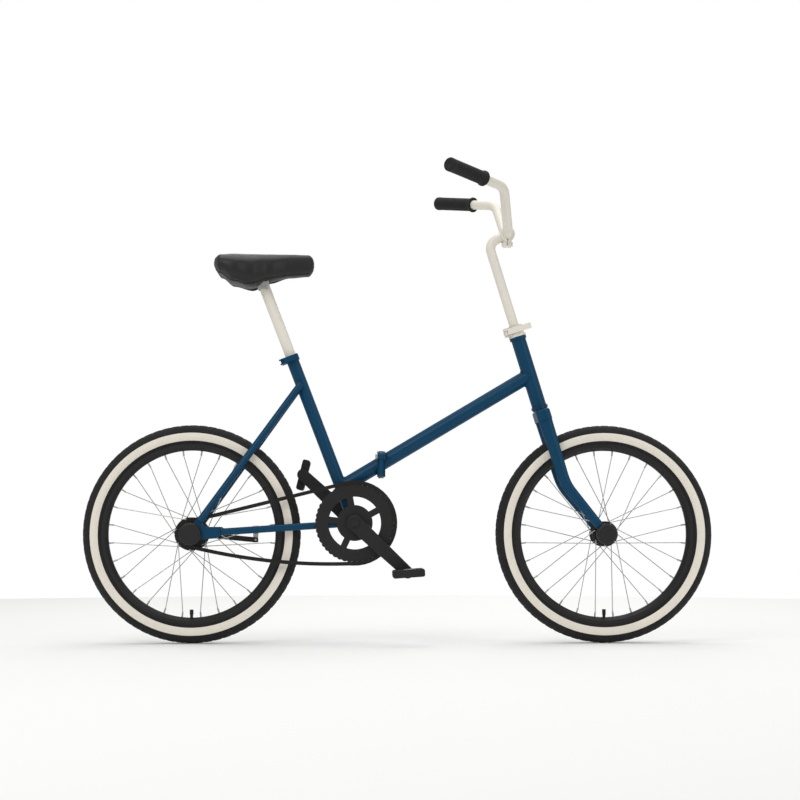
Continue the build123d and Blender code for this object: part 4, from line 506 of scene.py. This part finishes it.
# --- Tyres ---
@dataclass(frozen=True)
class Tyre:
    """Tyre with a blocked black tread, a cream sidewall and a black bead.

    Attributes:
        bead_radius: Radius of the bead's foot.
        bead_half: Half the width across the beads.
        waist_radius: Radius where the sidewall leaves the rim.
        cream_inner: Radius where the cream band starts.
        cream_outer: Radius where the tread starts.
        groove: Depth of the tread grooves.
        wall: Thickness of the casing.
        blocks: Number of tread blocks round the tyre.
        steps_per_block: Mesh steps along one block and its groove.
        foot_step: Distance from the waist down to the end of the upright foot.
        waist_drop: How far below the cream band the round part starts.
        waist_share: Share of the half width at which it starts.
        side_steps: Mesh steps from the waist to the crown.
        tread_margin: Height over the cream band where the grooves start.
        centre_groove: Half the width of the middle groove, as a share of the half width.
        ring_groove_from: Where the groove beside the middle blocks starts, as the same share.
        ring_groove_to: Where that groove ends.
        slant: Mesh steps by which a cross groove shifts from the middle to the edge.
        stagger: Mesh steps between the middle blocks and the side blocks.
        shallow: Depth of the middle cross grooves as a share of the others.
        open_ends: Outline points at each bead that have no inside point.
    """

    bead_radius: float = 0.203
    bead_half: float = 0.0125
    waist_radius: float = 0.2105
    cream_inner: float = 0.2135
    cream_outer: float = 0.2325
    groove: float = 0.0016
    wall: float = 0.003
    blocks: int = 72
    steps_per_block: int = 6
    foot_step: float = 0.002
    waist_drop: float = 0.0012
    waist_share: float = 0.86
    side_steps: int = 44
    tread_margin: float = 0.0015
    centre_groove: float = 0.05
    ring_groove_from: float = 0.30
    ring_groove_to: float = 0.36
    slant: int = 6
    stagger: int = 3
    shallow: float = 0.6
    open_ends: int = 2

    def outline(self, outer: float, half: float) -> list[tuple[float, float, bool]]:
        """Draw the outside from one bead to the other.

        Args:
            outer: Radius over the tread.
            half: Half the tyre's width.

        Returns:
            Points as (lateral place, radius, is cream).
        """
        belly = outer - half
        side = [(self.bead_half, self.bead_radius),
                (self.bead_half, self.waist_radius - self.foot_step)]
        start = math.atan2(self.cream_inner - self.waist_drop - belly, half * self.waist_share)
        for index in range(self.side_steps + 1):
            angle = start + (math.pi / 2 - start) * index / self.side_steps
            side.append((half * math.cos(angle), belly + half * math.sin(angle)))
        full = [(-y, radius) for y, radius in side[:-1]] + side[::-1]
        return [(y, radius, self.cream_inner < radius <= self.cream_outer) for y, radius in full]

    def depth(self, step: int, y: float, half: float) -> float:
        """Find the depth of the tread pattern.

        Args:
            step: Mesh step round the tyre.
            y: Lateral place.
            half: Half the tyre's width.

        Returns:
            The depth.
        """
        across = abs(y) / half
        if across < self.centre_groove or self.ring_groove_from < across < self.ring_groove_to:
            return self.groove
        shift = round(across * self.slant)
        if across >= self.ring_groove_to and (step + shift) % self.steps_per_block == 0:
            return self.groove
        middle_step = step + self.stagger - shift
        if across < self.ring_groove_from and middle_step % self.steps_per_block == 0:
            return self.groove * self.shallow
        return 0.0

    def build(self, node: str, body: str, palette: Palette) -> bpy.types.Object:
        """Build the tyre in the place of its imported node.

        Args:
            node: Packed tyre node.
            body: Body it rides on.
            palette: Materials.

        Returns:
            The tyre.
        """
        low, high = (Vector(corner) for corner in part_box(node))
        axle = (low + high) / 2
        outer = (high.z - low.z) / 2
        half = (high.y - low.y) / 2
        outside = self.outline(outer, half)
        lined = outside[self.open_ends:-self.open_ends]
        inside = [(y * (1 - self.wall / half), radius - self.wall) for y, radius, _ in lined]
        steps = self.blocks * self.steps_per_block
        points = len(outside) + len(inside)
        verts = []
        for step in range(steps):
            turn = 2 * math.pi * step / steps
            out = Vector((math.sin(turn), 0.0, math.cos(turn)))
            for y, radius, _ in outside:
                treaded = radius > self.cream_outer + self.tread_margin
                cut = self.depth(step, y, half) if treaded else 0.0
                verts.append(axle + out * (radius - cut) + LATERAL * y)
            for y, radius in reversed(inside):
                verts.append(axle + out * radius + LATERAL * y)
        faces = loop_faces(steps, points, True, True)
        cream = [index < len(outside) - 1 and outside[index][2] and outside[index + 1][2]
                 for index in range(points)]
        slots = [int(cream[index % points]) for index in range(len(faces))]
        materials = [palette.get(TREAD_RUBBER), palette.get(CREAM_RUBBER)]
        tyre = add_mesh(node + "_tread_and_wall", verts, faces, materials, slots)
        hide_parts(node)
        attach(tyre, body)
        LOG.info("%s: %d points", tyre.name, len(verts))
        return tyre


# --- Saddle ---
@dataclass(frozen=True)
class Saddle:
    """Padded saddle cover: a crowned shell with a round nose, open underneath at its middle.

    Attributes:
        STATIONS: Sections as (share of the length, half width, top, bottom), the last three in
            millimetres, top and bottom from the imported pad's highest line.
        wall: Thickness of the padded cover at its lower lip.
        rings: Cross-sections from nose to tail.
        points: Points of one cross-section.
        open_lip: How far the section turns under beside the seat post, in radians below level.
        open_from: Share of the length where the underside starts to open.
        open_to: Share of the length where it has closed again.
        open_blend: Share of the length that the change takes.
        under_drop: How far the cover reaches below the stations' own bottom line.
        squareness: Exponent of the section's superellipse.
        closed_gap: Angle left open, in radians, where the section is closed.
        nose: Share of the length over which the nose rounds off.
        tail: Share of the length over which the tail rounds off.
        end_face: Size of the small end faces as a share of the section.
        crown: Rise of the middle line over the edges.
        piping_radius: Radius of the piping.
        piping_point: Section point that the piping follows.
        piping_ends: Rings left out at the nose and tail.
        stitch_radius: Radius of one stitch.
        stitch_offset: Section points between piping and stitches.
        stitch_ends: Rings left out at the nose and tail.
    """

    STATIONS = ((0.0, 17, -4, -42), (0.06, 22, -1, -49), (0.24, 27, 0, -52), (0.45, 45, 0, -64),
                (0.62, 66, 0, -80), (0.80, 79, 0, -70), (0.93, 76, -2, -50), (1.0, 62, -6, -37))
    wall: float = 0.008
    rings: int = 90
    points: int = 61
    open_lip: float = 1.36
    open_from: float = 0.30
    open_to: float = 0.70
    open_blend: float = 0.10
    under_drop: float = 0.0025
    squareness: float = 2.7
    closed_gap: float = 0.0004
    nose: float = 0.055
    tail: float = 0.075
    end_face: float = 0.30
    crown: float = 0.0035
    piping_radius: float = 0.0013
    piping_point: int = 7
    piping_ends: int = 4
    stitch_radius: float = 0.0006
    stitch_offset: int = 2
    stitch_ends: int = 6

    def profile(self, share: float) -> tuple[float, ...]:
        """Blend between the stations before and after a place.

        Args:
            share: Place as a share of the length.

        Returns:
            Half width, top and bottom in metres.
        """
        last = len(self.STATIONS) - 1
        after = next(index for index, row in enumerate(self.STATIONS)
                     if row[0] >= share or index == last)
        after = max(after, 1)
        before, ahead = self.STATIONS[after - 1], self.STATIONS[after]
        blend = min(max((share - before[0]) / (ahead[0] - before[0]), 0.0), 1.0)
        blend = blend * blend * (3 - 2 * blend)
        return tuple((first + (second - first) * blend) * MM
                     for first, second in zip(before[1:], ahead[1:]))

    def end_scale(self, share: float) -> float:
        """Find how much the rounded nose and tail shrink a section.

        Args:
            share: Place as a share of the length.

        Returns:
            A factor: 1 along the saddle, falling to the small end face.
        """
        edge = min(share / self.nose, (1 - share) / self.tail, 1.0)
        rounding = math.sqrt(max(1 - (1 - edge) ** 2, 0.0))
        return self.end_face + (1 - self.end_face) * rounding

    def lip(self, share: float) -> float:
        """Find how far the section turns under: closed at nose and tail, open between.

        Args:
            share: Place as a share of the length.

        Returns:
            Angle below level in radians.
        """
        rise = min(max((share - self.open_from) / self.open_blend, 0.0), 1.0)
        fall = min(max((self.open_to - share) / self.open_blend, 0.0), 1.0)
        closed = math.pi / 2 - self.closed_gap
        return closed - (closed - self.open_lip) * (rise * fall) ** 2 * (3 - 2 * rise * fall)

    def section(self, share: float, low: Vector, high: Vector) -> list[Vector]:
        """Draw one cross-section.

        Args:
            share: Place as a share of the length.
            low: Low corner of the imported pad's box.
            high: High corner of that box.

        Returns:
            Its points from the right lip over the top to the left one.
        """
        half, top, bottom = self.profile(share)
        scale = self.end_scale(share)
        bottom -= self.under_drop
        middle = (top + bottom) / 2
        tall = (top - bottom) / 2 * scale
        lip = self.lip(share)
        power = 2 / self.squareness
        arch = math.sin(math.pi * share)
        row = []
        for point in range(self.points):
            angle = -lip + (math.pi + 2 * lip) * point / (self.points - 1)
            cos_part = math.copysign(abs(math.cos(angle)) ** power, math.cos(angle))
            sin_part = math.copysign(abs(math.sin(angle)) ** power, math.sin(angle))
            crown = self.crown * (1 - cos_part ** 2) * arch
            row.append(Vector((
                high.x - (high.x - low.x) * share,
                half * scale * cos_part,
                high.z + middle + tall * sin_part - self.crown * arch + crown)))
        return row

    def build(self, palette: Palette) -> None:
        """Build cover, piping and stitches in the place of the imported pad.

        Args:
            palette: Materials.
        """
        low, high = (Vector(corner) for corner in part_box("saddle_pad"))
        grid = [self.section(ring / (self.rings - 1), low, high) for ring in range(self.rings)]
        faces = loop_faces(self.rings, self.points, False, False)
        faces.append(tuple(range(self.points)))
        faces.append(tuple((self.rings - 1) * self.points + point for point in range(self.points)))
        verts = [place for row in grid for place in row]
        cover = add_mesh("saddle_cover", verts, faces, [palette.get(SADDLE_COVER)])
        thick = cover.modifiers.new("wall", "SOLIDIFY")
        thick.thickness = self.wall
        thick.offset = -1.0
        apply_modifiers(cover)
        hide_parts("saddle_pad")
        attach(cover, "saddle")
        LOG.info("saddle_cover: %d rings of %d points", self.rings, self.points)
        self.trim(grid, "right", self.piping_point, self.stitch_offset, palette)
        self.trim(grid, "left", self.points - 1 - self.piping_point, -self.stitch_offset, palette)

    def trim(self, grid: Sequence[Sequence[Vector]], side: str, column: int, offset: int,
             palette: Palette) -> None:
        """Run piping and a row of stitches along one side.

        Args:
            grid: The cover's sections.
            side: Side of the saddle.
            column: Section point that the piping follows.
            offset: Section points from there to the stitches.
            palette: Materials.
        """
        ends = self.piping_ends
        line = [grid[ring][column] for ring in range(ends, self.rings - ends + 1)]
        piping = bead(f"saddle_piping_{side}", line, self.piping_radius, 0.0,
                      palette.get(SADDLE_COVER), closed=False)
        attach(piping, "saddle")
        LOG.info("%s: %d points", piping.name, len(line))
        ends = self.stitch_ends
        self.stitch([grid[ring][column + offset] for ring in range(ends, self.rings - ends + 1)],
                    side, palette)

    def stitch(self, line: Sequence[Vector], side: str, palette: Palette) -> None:
        """Build a row of short stitches along a line of the cover.

        Args:
            line: Points of the line; every second gap is a stitch.
            side: Side of the saddle.
            palette: Materials.
        """
        corners = 6
        verts: list[Vector] = []
        faces: list[tuple[int, ...]] = []
        for start, end in zip(line[::2], line[1::2]):
            run = (end - start).normalized()
            base = len(verts)
            verts += [place + round_about(run, math.pi / 3 * turn) * self.stitch_radius
                      for place in (start, end) for turn in range(corners)]
            near = [base + turn for turn in range(corners)]
            far = [index + corners for index in near]
            faces += [(near[turn], near[turn - corners + 1], far[turn - corners + 1], far[turn])
                      for turn in range(corners)]
            faces += [tuple(near), tuple(far)]
        stitches = add_mesh(f"saddle_stitches_{side}", verts, faces, [palette.get(STITCH)])
        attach(stitches, "saddle")
        LOG.info("%s: %d points", stitches.name, len(verts))


def apply_modifiers(piece: bpy.types.Object) -> None:
    """Replace the piece's mesh by its evaluated one and drop the modifiers.

    Args:
        piece: The piece.
    """
    bpy.context.view_layer.update()
    evaluated = piece.evaluated_get(bpy.context.evaluated_depsgraph_get())
    mesh = bpy.data.meshes.new_from_object(evaluated)
    piece.modifiers.clear()
    piece.data = mesh


# --- Grips ---
@dataclass(frozen=True)
class Grips:
    """Ribbed rubber grips with a flange at the inner end and a rounded closed outer end.

    Attributes:
        bore: Radius of the hole the bar sits in.
        body: Radius over the ribs.
        flange: Radius of the inner flange.
        rib_pitch: Distance between the ribs.
        rib_depth: Depth of the grooves between them.
        length: Length of one grip.
        FLANGE: Flange as (radius below the flange's own, distance from the inner end).
        END_DIMPLE: Shallow dimple of the outer end as (radius, depth).
        bore_depth: How far the bore is drawn into the grip.
        barrel_from: Where the barrel starts beyond the flange.
        ribs_from: Where the first rib groove starts.
        ribs_margin: Length without ribs at the outer end.
        groove_places: Along one groove: end of the slope, of the floor and of the other slope.
        cap_swell: How far the end cap stands over the ribs.
        cap_length: Length of the end cap.
        cap_round: Radius of its rounded edge.
        cap_steps: Steps of that edge.
        inner_end: Point that the left grip's line runs from.
        outer_end: Middle of the left grip's outer end.
    """

    FLANGE = ((0.001, 0.0), (0.0, 0.001), (0.0, 0.0035), (0.0012, 0.005))
    END_DIMPLE = ((0.006, 0.0), (0.0055, 0.0008), (0.001, 0.0009))

    bore: float = 0.0112
    body: float = 0.0155
    flange: float = 0.018
    rib_pitch: float = 0.0052
    rib_depth: float = 0.0011
    length: float = 0.124
    bore_depth: float = 0.02
    barrel_from: float = 0.0062
    ribs_from: float = 0.010
    ribs_margin: float = 0.012
    groove_places: tuple[float, float, float] = (0.0007, 0.0017, 0.0024)
    cap_swell: float = 0.0004
    cap_length: float = 0.010
    cap_round: float = 0.004
    cap_steps: int = 6
    inner_end: tuple[float, float, float] = (0.236, 0.138, 1.034)
    outer_end: tuple[float, float, float] = (0.104, 0.282, 1.061)

    def outline(self) -> list[tuple[float, float]]:
        """Draw the outline from the bore over the ribs to the middle of the outer end.

        Returns:
            Points as (radius, distance from the inner end).
        """
        points = [(self.bore, self.bore_depth), (self.bore, 0.0)]
        points += [(self.flange - below, along) for below, along in self.FLANGE]
        points.append((self.body, self.barrel_from))
        foot = self.body - self.rib_depth
        slope, floor, rise = self.groove_places
        along = self.ribs_from
        while along < self.length - self.ribs_margin:
            points += [(self.body, along), (foot, along + slope), (foot, along + floor),
                       (self.body, along + rise)]
            along += self.rib_pitch
        cap = self.body + self.cap_swell
        points += [(cap, self.length - self.cap_length), (cap, self.length - self.cap_round)]
        for step in range(1, self.cap_steps):
            angle = math.pi / 2 * step / self.cap_steps
            points.append((cap - self.cap_round * (1 - math.cos(angle)),
                           self.length - self.cap_round + self.cap_round * math.sin(angle)))
        return points + [(radius, self.length - depth) for radius, depth in self.END_DIMPLE]

    def build(self, palette: Palette) -> None:
        """Build both grips along the bar's ends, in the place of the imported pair.

        Args:
            palette: Materials.
        """
        outer = Vector(self.outer_end)
        run = (outer - Vector(self.inner_end)).normalized()
        start = outer - run * self.length
        for side, sign in LEFT_AND_RIGHT:
            mirror = Vector((1.0, sign, 1.0))
            grip = turned(f"{side}_grip", start * mirror, run * mirror, self.outline(),
                          palette.get(GRIP_RUBBER))
            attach(grip, "handlebar")
            LOG.info("%s: %d points", grip.name, len(grip.data.vertices))
        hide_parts("handlebar_grips")


# --- Weld beads ---
def lean(degrees: float) -> Vector:
    """Find the unit direction in the bicycle's middle plane that leans back from upright.

    Args:
        degrees: How far it leans back.

    Returns:
        The direction.
    """
    angle = math.radians(degrees)
    return Vector((-math.sin(angle), 0.0, math.cos(angle)))


def on_side(place: Sequence[float], sign: float) -> Vector:
    """Return a place given for the left side, or its mirror image if the sign is -1."""
    return Vector((place[0], sign * place[1], place[2]))


@dataclass(frozen=True)
class Tube:
    """Round tube: a point on its axis, the axis direction and the outer radius."""

    origin: Vector
    axis: Vector
    radius: float


@dataclass(frozen=True)
class Weld:
    """Bead where the surface of one tube runs into another.

    Attributes:
        name: Piece name.
        body: Body it rides on.
        branch: The tube whose surface lines are followed.
        onto: The tube they run into.
        far: Whether the second crossing along the branch's axis is wanted.
        side: Direction that the kept part of the bead faces, or None for all of it.
        lift: How far the bead's middle line stands off the branch, so that it clears the bore.
    """

    name: str
    body: str
    branch: Tube
    onto: Tube
    far: bool = False
    side: Vector | None = None
    lift: float = 0.0008

    def path(self, steps: int = 160) -> list[Vector]:
        """Find the seam where both surfaces meet.

        Args:
            steps: Surface lines tried round the branch.

        Returns:
            Points of the seam, without those lines that miss the other tube.
        """
        branch, onto = self.branch, self.onto
        across_axis = branch.axis - onto.axis * branch.axis.dot(onto.axis)
        square = across_axis.length_squared
        reach = branch.radius + self.lift
        points = []
        for step in range(steps):
            start = branch.origin + round_about(branch.axis, 2 * math.pi * step / steps) * reach
            offset = start - onto.origin
            offset = offset - onto.axis * offset.dot(onto.axis)
            half = offset.dot(across_axis)
            inside = half * half - square * (offset.length_squared - onto.radius ** 2)
            if inside < 0:
                continue
            root = math.sqrt(inside)
            along = (-half + (root if self.far else -root)) / square
            if self.side is None or (start - branch.origin).dot(self.side) > 0:
                points.append(start + branch.axis * along)
        return self.from_gap(points)

    def from_gap(self, points: list[Vector]) -> list[Vector]:
        """Turn the order of the points so that a part seam starts just after its gap.

        Args:
            points: Points of the seam in their order round the branch.

        Returns:
            The same points, starting after the widest gap.
        """
        before = points[-1:] + points[:-1]
        steps = [(place - last).length for last, place in zip(before, points)]
        start = steps.index(max(steps)) if steps else 0
        return points[start:] + points[:start]


@dataclass(frozen=True)
class Welds:
    """Weld beads of the frame and fork.

    Attributes:
        width: Half the width of a bead.
        ripple: Share by which the bead swells and narrows.
        fewest: Fewest points of a seam that is worth a bead.
        join: Widest gap between its ends over which a bead still closes.
        SEAT_TUBE: Its foot on the bottom bracket's axis, lean from upright in degrees, radius.
        HEAD_TUBE: A point on its axis, lean from upright in degrees, radius.
        MAIN_TUBE: A point on its axis, rise from level in degrees, radius.
        SHELL_RADIUS: Radius of the bottom bracket shell.
        STAY_RADIUS: Radius of all four stays.
        CHAIN_STAY: Rear and front end of the left chain stay's last stretch.
        SEAT_STAY: Lower and upper end of the left seat stay's last stretch.
    """

    SEAT_TUBE = ((-0.1005, 0.0, 0.275), 21.0, 0.0143)
    HEAD_TUBE = ((0.2789, 0.0, 0.6993), 17.1, 0.017)
    MAIN_TUBE = ((0.0, 0.0, 0.4352), 30.8, 0.0167)
    SHELL_RADIUS = 0.020
    STAY_RADIUS = 0.008
    CHAIN_STAY = ((-0.404, 0.0575, 0.2547), (-0.118, 0.022, 0.2738))
    SEAT_STAY = ((-0.4529, 0.0575, 0.2792), (-0.2238, 0.017, 0.5962))
    width: float = 0.0017
    ripple: float = 0.16
    fewest: int = 20
    join: float = 0.004

    def stay(self, ends: Sequence[Sequence[float]], sign: float) -> Tube:
        """Return the stay between two ends, on the left side or mirrored."""
        start = on_side(ends[0], sign)
        return Tube(start, (on_side(ends[1], sign) - start).normalized(), self.STAY_RADIUS)

    def plan(self) -> list[Weld]:
        """List every seam of the frame.

        Returns:
            The seams.
        """
        seat_tube, head_tube = (Tube(Vector(place), lean(degrees), radius)
                                for place, degrees, radius in (self.SEAT_TUBE, self.HEAD_TUBE))
        shell = Tube(seat_tube.origin, LATERAL, self.SHELL_RADIUS)
        place, degrees, radius = self.MAIN_TUBE
        rise = math.radians(degrees)
        main_tube = Tube(Vector(place), Vector((math.cos(rise), 0.0, math.sin(rise))), radius)
        ahead = seat_tube.axis.cross(-LATERAL)
        seams = [
            Weld("seat_tube_weld", "rear_frame", seat_tube, shell, far=True),
            Weld("main_tube_weld_upper", "rear_frame", seat_tube, main_tube, far=True, side=ahead),
            Weld("main_tube_weld_lower", "rear_frame", seat_tube, main_tube, side=ahead),
            Weld("head_tube_weld", "front_frame", main_tube, head_tube),
        ]
        for side, sign in LEFT_AND_RIGHT:
            seams.append(Weld(f"chain_stay_weld_{side}", "rear_frame",
                              self.stay(self.CHAIN_STAY, sign), shell))
            seams.append(Weld(f"seat_stay_weld_{side}", "rear_frame",
                              self.stay(self.SEAT_STAY, sign), seat_tube))
        return seams

    def build(self, palette: Palette) -> None:
        """Build every bead that has a whole seam.

        Args:
            palette: Materials.
        """
        for seam in self.plan():
            path = seam.path()
            if len(path) < self.fewest:
                LOG.warning("%s has no seam", seam.name)
                continue
            closed = (path[0] - path[-1]).length < self.join
            piece = bead(seam.name, path, self.width, self.ripple, palette.get(FRAME_PAINT),
                         closed=closed)
            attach(piece, seam.body)
            LOG.info("%s: %d points", seam.name, len(path))


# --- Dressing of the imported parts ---
@dataclass(frozen=True)
class Dressing:
    """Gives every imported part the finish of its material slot."""

    def finishes(self) -> dict[str, Finish]:
        """List the finish of each material slot.

        Returns:
            Finishes by slot name.
        """
        return {
            "frame_paint": FRAME_PAINT,
            "cream_paint": CREAM_PAINT,
            "dark_paint": DARK_PAINT,
            "tyre_rubber": TREAD_RUBBER,
            "tube_rubber": GRIP_RUBBER,
            "grip_rubber": GRIP_RUBBER,
            "dark_plastic": DARK_PLASTIC,
            "saddle_cover": SADDLE_COVER,
            "chain_steel": CHAIN_STEEL,
            "steel": STEEL,
            "hub_alloy": HUB_ALLOY,
        }

    def own_finishes(self) -> dict[str, Finish]:
        """List the parts sprayed with the frame or blacked, whatever their metal.

        Returns:
            Finishes by node name.
        """
        blacked = ("crank_bolts", "pedal_axles", "front_hub", "rear_hub")
        return {"headset_bearings": FRAME_PAINT} | dict.fromkeys(blacked, DARK_PAINT)

    def dress(self, frame: dict, palette: Palette) -> None:
        """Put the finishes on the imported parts.

        Args:
            palette: Materials.
        """
        finishes, own_finishes = self.finishes(), self.own_finishes()
        slots = {part["node"]: part["material_slot"] for part in frame["record"]["subparts"]}
        for name, part in frame["nodes"].items():
            material = palette.get(own_finishes.get(name, finishes[slots[name]]))
            part.data.materials.clear()
            part.data.materials.append(material)
        LOG.info("dressed %d packed parts", len(slots))


# --- Studio ---
@dataclass(frozen=True)
class SoftLight:
    """Square area light: name, place, power in watts and side length."""

    name: str
    place: tuple[float, float, float]
    power: float
    size: float


@dataclass(frozen=True)
class Studio:
    """Pale floor, soft lights and the camera.

    Attributes:
        LIGHTS: The lights.
        AIM: Point that every light faces, in the middle of the object.
        FLOOR_COLOUR: Floor colour as an sRGB hex string.
        FLOOR_ROUGHNESS: Roughness of the floor.
        FLOOR_DROP: How far the floor lies under the tyres, so that they don't share a plane.
        FLOOR_STEPS: Corners of the round floor.
        WHITE: Colour of the room.
        SENSOR: Width of the camera's sensor in millimetres.
        eye: Camera place.
        target: Point it looks at.
        lens: Focal length in millimetres.
        floor_radius: Radius of the round floor.
        room_light: Strength of the room as a light.
        room_seen: Strength of the room where it is seen directly.
    """

    LIGHTS = (
        SoftLight("key", (-2.2, -3.6, 3.4), 74.0, 2.6),
        SoftLight("fill", (3.4, -2.6, 2.2), 26.0, 2.6),
        SoftLight("top", (0.2, 0.6, 4.2), 70.0, 3.2),
        SoftLight("back", (0.6, 4.0, 2.6), 40.0, 2.8),
    )
    AIM = (0.0, 0.0, 0.5)
    FLOOR_COLOUR = "#F4F4F3"
    FLOOR_ROUGHNESS = 0.9
    FLOOR_DROP = 0.0002
    FLOOR_STEPS = 180
    WHITE = (1.0, 1.0, 1.0, 1.0)
    SENSOR = 36.0
    eye: tuple[float, float, float] = (-0.112, -4.75, 0.275)
    target: tuple[float, float, float] = (0.004, 0.0, 0.559)
    lens: float = 92.6
    floor_radius: float = 3.1
    room_light: float = 0.50
    room_seen: float = 1.0

    def floor(self) -> None:
        """Lay a round floor of pale matt card that ends against the white room."""
        material = bpy.data.materials.new("pale_floor")
        material.use_nodes = True
        shader = material.node_tree.nodes["Principled BSDF"]
        shader.inputs["Base Color"].default_value = linear(self.FLOOR_COLOUR)
        shader.inputs["Roughness"].default_value = self.FLOOR_ROUGHNESS
        turns = [2 * math.pi * step / self.FLOOR_STEPS for step in range(self.FLOOR_STEPS)]
        rim = [Vector((math.cos(turn), math.sin(turn), 0.0)) * self.floor_radius for turn in turns]
        floor = add_mesh("floor", rim, [tuple(range(self.FLOOR_STEPS))], [material])
        floor.location.z = -self.FLOOR_DROP

    def aimed(self, name: str, data: bpy.types.ID, place: Sequence[float],
              target: Sequence[float]) -> bpy.types.Object:
        """Put a light or a camera in its place, facing a point.

        Args:
            name: Object name.
            data: Light or camera data.
            place: Where it stands.
            target: Point it faces.

        Returns:
            The new object, linked to the scene.
        """
        aimed = bpy.data.objects.new(name, data)
        aimed.location = place
        facing = Vector(target) - Vector(place)
        aimed.rotation_euler = facing.to_track_quat("-Z", "Y").to_euler()
        bpy.context.collection.objects.link(aimed)
        return aimed

    def light(self, light: SoftLight) -> None:
        """Add one soft light."""
        data = bpy.data.lights.new(light.name, "AREA")
        data.energy = light.power
        data.size = light.size
        self.aimed(light.name, data, light.place, self.AIM)

    def room(self) -> None:
        """Set a white room: bright where it is seen directly, softer as a light."""
        world = bpy.data.worlds.new("white_room")
        world.use_nodes = True
        tree = world.node_tree
        background = tree.nodes["Background"]
        background.inputs["Color"].default_value = self.WHITE
        rays = add_node(tree, "ShaderNodeLightPath")
        level = add_node(tree, "ShaderNodeMapRange", {}, {
            "Value": rays.outputs["Is Camera Ray"],
            "To Min": self.room_light,
            "To Max": self.room_seen})
        tree.links.new(level.outputs[0], background.inputs["Strength"])
        bpy.context.scene.world = world

    def build(self) -> None:
        """Build the whole studio."""
        self.floor()
        for light in self.LIGHTS:
            self.light(light)
        self.room()
        data = bpy.data.cameras.new("camera")
        data.lens = self.lens
        data.sensor_width = self.SENSOR
        camera = self.aimed("camera", data, self.eye, self.target)
        bpy.context.scene.camera = camera
        bpy.context.scene.view_settings.view_transform = "Standard"
        LOG.info("studio: %d lights, floor of %.1f m radius", len(self.LIGHTS), self.floor_radius)


def main() -> None:
    logging.basicConfig(level=logging.INFO, format="%(name)s: %(message)s")
    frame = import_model()
    palette = Palette()
    Dressing().dress(frame, palette)
    tyre = Tyre()
    tyre.build("front_tyre", "front_wheel", palette)
    tyre.build("rear_tyre", "rear_wheel", palette)
    Saddle().build(palette)
    Grips().build(palette)
    Welds().build(palette)
    Studio().build()


if __name__ == "__main__":
    main()
